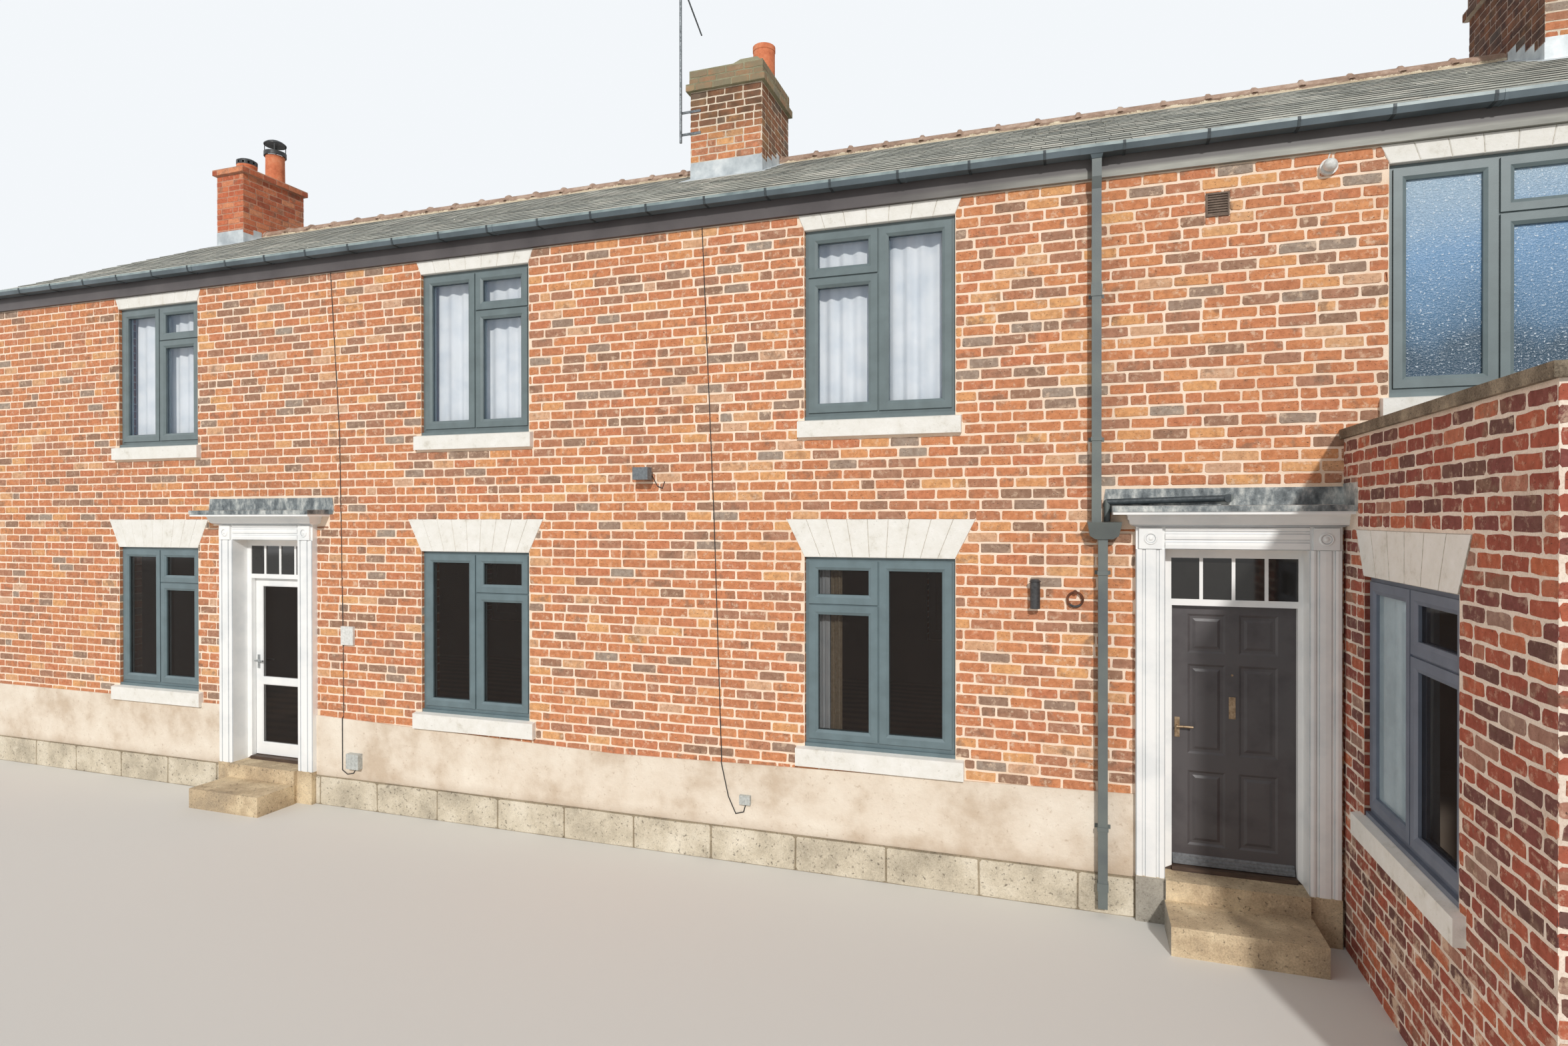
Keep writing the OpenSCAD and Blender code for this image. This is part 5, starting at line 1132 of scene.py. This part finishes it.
# Gutters, fascias and rainwater pipes.
# Square-section downpipes, their hopper head and the gutters are moulded plastic in a weathered
# blue grey, with a painted highlight along the gutters' rims; the fascia boards behind are capped in a
# darker plastic, with a painted sunlit strip along their lower edge on the right.
pipe_plastic = clouded("pipe_plastic", "#66716f", 0.5, (3.0, 5.0), (0.3, "#596062"), (0.7, "#707773"),
                       bumps=(150.0, 3.0, 0.0008))
gutter_plastic = clouded("gutter_plastic", "#4d565c", 0.45, (2.5, 6.0), (0.3, "#475257"), (0.7, "#66737a"))
painted_rim_highlight = clouded("painted_rim_highlight", "#b9c6c8", 0.4, (8.0, 5.0), (0.3, "#6f7e80"), (0.6, "#93a2a2"))
dark_clip = worn_surface("dark_clip", "#2c3438", "#3c4549", 0.5)
GUTTER_X0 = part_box("gutters")[0].x
GUTTER_RIM_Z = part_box("gutters")[1].z
GUTTER_LIP = 0.022
CLIP_STEP = 0.560
CLIP_HALF = 0.010
fascia_foil = surface("fascia_foil", "#4a5258", 0.5)
fascia_tree = fascia_foil.node_tree
fascia_where = place(fascia_tree)
fascia_at = add(fascia_tree, "ShaderNodeSeparateXYZ", Vector=fascia_where).outputs
fascia_brown = ramp(fascia_tree, noise(fascia_tree, fascia_where, 1.8, 5.0), (0.3, "#453f40"),
                    (0.7, "#5d5757"))
# The boards are bleached towards the right; there, a lighter strip along their lower edge is painted
# sunlight below the gutter's shadow, and the band above it keeps the dark colour as painted shade
rightward = ramp(fascia_tree, sums(fascia_tree, "DIVIDE", fascia_at["X"], 8.0), (0.30, 0.0), (0.55, 1.0))
painted_sunlit_strip = ramp(fascia_tree, sums(fascia_tree, "DIVIDE", fascia_at["Z"], 7.0), (0.7982, 1.0),
                  (0.7992, 0.12))
bleached_and_sunlit = sums(fascia_tree, "MULTIPLY", rightward, painted_sunlit_strip)
streaks = ramp(fascia_tree, noise(fascia_tree, stretched(fascia_tree, fascia_where, 0.3, 1, 2), 6.0, 5.0),
               (0.35, "#7c7b73"), (0.65, "#a1a097"))
coloured(fascia_foil, tint(fascia_tree, bleached_and_sunlit, fascia_brown, streaks))
finish_node("rainwater_pipes", pipe_plastic)
# The waste pipe that runs over the right hood is darker than the downpipe
WASTE_PIPE_X = (4.23, 5.03)
WASTE_PIPE_Z = (3.04, 3.16)
finish_faces("rainwater_pipes", dark_clip, lambda middle, _: WASTE_PIPE_Z[0] < middle.z < WASTE_PIPE_Z[1]
             and WASTE_PIPE_X[0] < middle.x < WASTE_PIPE_X[1])
finish_node("gutters", gutter_plastic)
# The faces along the gutters' rims are painted lighter: a painted highlight.
finish_faces("gutters", painted_rim_highlight, lambda middle, _: middle.z > GUTTER_RIM_Z - GUTTER_LIP)
finish_faces("gutters", dark_clip, lambda middle, _: abs(
    (middle.x - GUTTER_X0 - CLIP_HALF) % CLIP_STEP - CLIP_STEP / 2) < CLIP_HALF + 0.001)
finish_node("fascias", fascia_foil)

# Door surrounds.
# Reeded pilasters, corner blocks with turned roundels, a reeded frieze and a cornice, all of softwood
# in white gloss paint, under a hood that is dressed with sheet lead and turned up against the bricks.


def gloss_paint(name, colour, dark, roughness=0.3):
    """Gloss paint, brushed on and a little dulled."""
    return clouded(name, colour, roughness, (3.5, 5.0), (0.3, dark), (0.55, colour),
                   bumps=(30.0, 3.0, 0.0008))


white_gloss = gloss_paint("white_gloss", "#f6f6f4", "#e8eaea")
for name in ("door_pilasters", "door_entablatures", "door_jambs", "fanlights", "left_door_leaf"):
    finish_node(name, white_gloss)
# A darker grey for the painted shade in the mouldings' quirks.
painted_quirk_shade = gloss_paint("painted_quirk_shade", "#c3c7ca", "#a9adb0")
# Painted shade: the slanting faces of the reeds and roundels, down in their quirks, are painted a darker grey
for name in ("door_pilasters", "door_entablatures"):
    finish_faces(name, painted_quirk_shade, lambda _, normal: 0.12 < abs(normal.y) < 0.72)
sill_oak = clouded("sill_oak", "#4a3a30", 0.6, (6.0, 5.0), (0.3, "#362a23"), (0.7, "#5f4b3d"),
                   stretch=(1, 8, 8))
SILL_TOP = 0.386
finish_faces("door_jambs", sill_oak, lambda middle, _: middle.z < SILL_TOP)
sheet_lead = clouded("sheet_lead", "#7f8a94", 0.5, (5.5, 7.0, 0.68), (0.35, "#4b5255"), (0.47, "#7b8284"),
                     (0.55, "#a6aaa8"), (0.65, "#d2d3ce"), stretch=(1.6, 1, 0.9), bumps=(12.0, 4.0, 0.010),
                     metallic=0.15)
finish_node("door_hoods", sheet_lead)

# Doors.
# The right door is a panelled one in black-brown gloss with worn bronze furniture; the left one is
# white and glazed, with steel levers. Each hangs on three butt hinges and opens inward.
door_paint = gloss_paint("door_paint", "#565253", "#454042", 0.36)
finish_node("right_door_leaf", door_paint)
bar_metal = worn_surface("bar_metal", "#5f6163", "#797b7d", 0.4)
# The weather bar stands out from the foot of the leaf
BAR_TOP = 0.453
BAR_PROUD = 0.035
LEAF_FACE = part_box("right_door_leaf")[0].y + BAR_PROUD
finish_faces("right_door_leaf", bar_metal,
             lambda middle, _: middle.z < BAR_TOP and middle.y < LEAF_FACE - 0.002)
bronze = worn_surface("bronze", "#877056", "#b09a7f", 0.4, 0.8)
finish_node("right_door_fittings", bronze)
satin_steel = worn_surface("satin_steel", "#a8abac", "#c5c8c9", 0.3, 1.0)
finish_node("left_door_fittings", satin_steel)

# Chimneys.
# Brick stacks with an oversailing course, mortar sloped up round clay pots, lead at their foot. The
# bricks are blackened by smoke on the right stack's side and grown over with moss on the middle one.
finish_node("chimney_stacks", mortar_surface("stack_mortar", "#ecdcc8", "#b5a48f"))
red_mortar = mortar_surface("red_mortar", "#d6a68c", "#a5735c")
red_tree = red_mortar.node_tree
# The left stack's mortar is red, but pale below the roof's surface, where it is the gable's
red_at = add(red_tree, "ShaderNodeSeparateXYZ", Vector=place(red_tree)).outputs
off_ridge = maths(red_tree, "ABSOLUTE", maths(red_tree, "SUBTRACT", red_at["Y"], RIDGE_Y))
roofward = maths(red_tree, "MULTIPLY_ADD", off_ridge, ROOF_RISE, red_at["Z"])
above_roof = maths(red_tree, "GREATER_THAN", roofward, RIDGE_Z - 0.03)
reddened = shader_of(red_mortar).inputs["Base Color"].links[0].from_socket
coloured(red_mortar, tint(red_tree, above_roof, "#f6dfc8", reddened))
finish_faces("chimney_stacks", red_mortar, lambda middle, _: middle.x < ROW_X0 + 1)
finish_faces("chimney_stacks", mortar_surface("sooty_mortar", "#ad988c", "#6b5750"),
             lambda middle, normal: normal.x < -SQUARE and abs(middle.x - STACKS["right"][0]) < 0.06)
stack_lead = clouded("stack_lead", "#a9b1b7", 0.5, (4.0, 6.0, 0.6), (0.34, "#a3abb0"), (0.52, "#c2c9cc"),
                     (0.68, "#dde1e2"), metallic=0.1)
finish_node("chimney_flashings", stack_lead)
orange_brick = brick_surface("orange_brick", "#6d4a3c", 0.2, (0.0, "#ad6048"), (0.3, "#c86f50"),
                             (0.6, "#d67b57"), (1.0, "#e39a73"))
mossy_brick = brick_surface("mossy_brick", "#5d4a3b", 0.4, *OLD_TONES)
crown_brick = brick_surface("crown_brick", "#86816a", 0.4, *OLD_TONES)
sooty_brick = brick_surface("sooty_brick", "#382a28", 0.3, *OLD_TONES)
COURSE = BRICK[1]
STACK_BRICK = (0.236, COURSE)
STACK_BED = 0.014
STACK_HEADERS = 3
STACK_WANDER = 0.015
STACK_WEAR = (0.003, 0.002, 0.003, 0.010)
CORBEL = 0.045
SHAFT_TOP = {"left": RIDGE_Z + 0.866, "middle": RIDGE_Z + 0.692, "right": RIDGE_Z + 0.804}
# The right stack's crown reaches the row's right end, so its bricks' faces stay this far inside it
BRICK_RELIEF = 0.0045
STACK_LIMIT = cad_bounds[1][0] - BRICK_RELIEF


def roof_at(index, rect, b0, b1):
    """How high the roof and its lead come up a stack's front, back or side, where a brick lies."""
    if index == 0:
        return EAVES_Z + ROOF_RISE * b0 + 0.15
    if index == 1:
        return EAVES_Z + ROOF_RISE * (DEPTH - b1)
    return EAVES_Z + ROOF_RISE * (RIDGE_Y - abs((rect[0] + rect[1]) / 2 - RIDGE_Y)) + 0.02


def stack_bricks(key, steps, made, crown, soot, seed):
    """Bricks on the four faces of a shaft, and of each of its projecting courses, the crown."""
    x0, x1, y0, y1 = STACKS[key]
    top = SHAFT_TOP[key]
    low = EAVES_Z + ROOF_RISE * (RIDGE_Y - max(RIDGE_Y - y0, y1 - RIDGE_Y)) - 0.05
    faces = []
    levels = [(0.0, low, top)] + [(step * CORBEL, top + i * COURSE, top + (i + 1) * COURSE)
                                  for i, step in enumerate(steps)]
    for grow, z0, z1 in levels:
        base = z1 - COURSE * math.ceil((z1 - z0) / COURSE)
        a0, a1, b0, b1 = x0 - grow, min(x1 + grow, STACK_LIMIT), y0 - grow, y1 + grow
        sides = [(((0, b0, 0), (1, 0, 0), (0, -1, 0)), a0, a1), (((0, b1, 0), (1, 0, 0), (0, 1, 0)), a0, a1),
                 (((a0, 0, 0), (0, 1, 0), (-1, 0, 0)), b0, b1), (((a1, 0, 0), (0, 1, 0), (1, 0, 0)), b0, b1)]
        for index, (face, u0, u1) in enumerate(sides):
            rects = courses((u0, u1), (z0, z1), STACK_BRICK, STACK_BED, headers=STACK_HEADERS,
                            wander=STACK_WANDER, seed=seed + index, base=base)
            faces.append(face + ([r for r in rects if r[3] > roof_at(index, r, b0, b1)],))
    name = key + "_stack"
    laid_blocks(name, faces[:4], made, "chimney_brick", *STACK_WEAR, seed, soot)
    laid_blocks(name + "_crown", faces[4:], crown, "chimney_brick", *STACK_WEAR, seed + 9, soot)


def moss_and_soot(x, _, z):
    """The middle stack: its crown is grown over, its right side sooty, the others darker to the top."""
    if z > RIDGE_Z + 0.68:
        return 0.9
    if x > 0.46:
        return 0.75
    return min(0.9, max(0.0, (z - 7.55) * 3.0))


stack_bricks("left", (1,), orange_brick, orange_brick, None, 51)
stack_bricks("middle", (1, 0.25, 0.25), mossy_brick, crown_brick, moss_and_soot, 52)
stack_bricks("right", (1, 0.25, 0.25), sooty_brick, sooty_brick,
             lambda x, _y, _z: 0.95 if x < STACKS["right"][0] + 0.01 else 0.15, 53)
moss_mortar = mortar_surface("moss_mortar", "#a8a388", "#6b6850")
finish_faces("chimney_stacks", moss_mortar,
             lambda middle, _: abs(middle.x) < 1 and middle.z > SHAFT_TOP["middle"] - 0.01)
# The stacks behind the bricks, drawn in where the right crown's bricks need the room
cores_mesh = nodes["chimney_stacks"].data.copy()
cores_mesh.transform(nodes["chimney_stacks"].matrix_world)
for vertex in cores_mesh.vertices:
    vertex.co.x = min(vertex.co.x, STACK_LIMIT)
stack_cores = new_piece("stack_cores", cores_mesh)
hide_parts("chimney_stacks")
pot_clay = clay_surface("pot_clay", "#c06a48", "#dd835c", "#e8a07a")
finish_node("chimney_pots", pot_clay)
black_steel = worn_surface("black_steel", "#1a1b1c", "#2e2f30", 0.45)
finish_node("chimney_cowls", black_steel)
dull_metal = worn_surface("dull_metal", "#575c5f", "#7a7f82", 0.45, 0.7)
finish_node("tv_aerial", dull_metal)

# The wing's roof and coping.
# Mineral felt lies flat behind a parapet of dark weathered coping stones.
felt = clouded("roof_felt", "#5a5c5d", 0.95, (60.0, 3.0), (0.3, "#4a4c4d"), (0.7, "#707274"))
finish_node("wing_roof", felt)
finish_node("wing_coping", stone_surface("coping_stone", "#3f3429", "#75695a", "#b0a18a", 1.4, "#2c241c"))

# Things on the front wall.
# A floodlight, a round lamp, a vent, a ring, a sensor, meter boxes and their cables, screwed or
# clipped to the bricks.
finish_node("wall_fittings", worn_surface("fitting_paint", "#2e2e2f", "#444445", 0.5))
grey_case = worn_surface("grey_case", "#5f6569", "#777d81", 0.5)
white_case = worn_surface("white_case", "#cbcbc6", "#e6e6e2", 0.45)
pale_case = worn_surface("pale_case", "#a5a8a4", "#c4c7c3", 0.5)
rust = stone_surface("rust", "#4a2d20", "#6e4331", "#8a5a42", 6.0)
vent_clay = stone_surface("vent_clay", "#5a4a40", "#75655a", "#928072", 3.0)
# The finish of each fitting, and the spot in X and Z that its faces lie round: the floodlight, the ring,
# the vent, the sensor, the plate beside the left door, the meter box and the other cable's box
for finish, x, z, reach in ((grey_case, 0.33, 3.38, 0.2), (rust, 3.974, 2.416, 0.09),
                            (vent_clay, 4.95, 5.256, 0.12), (white_case, 5.645, 5.429, 0.12),
                            (white_case, -3.118, 1.773, 0.15), (pale_case, -3.007, 0.494, 0.15),
                            (pale_case, 1.281, 0.55, 0.1)):
    finish_faces("wall_fittings", finish,
                 lambda middle, _: abs(middle.x - x) < reach and abs(middle.z - z) < reach)
finish_node("wall_cables", worn_surface("cable_sheath", "#151516", "#272728", 0.6))
finish_faces("wall_cables", white_case, lambda middle, _: middle.x > 5.5)
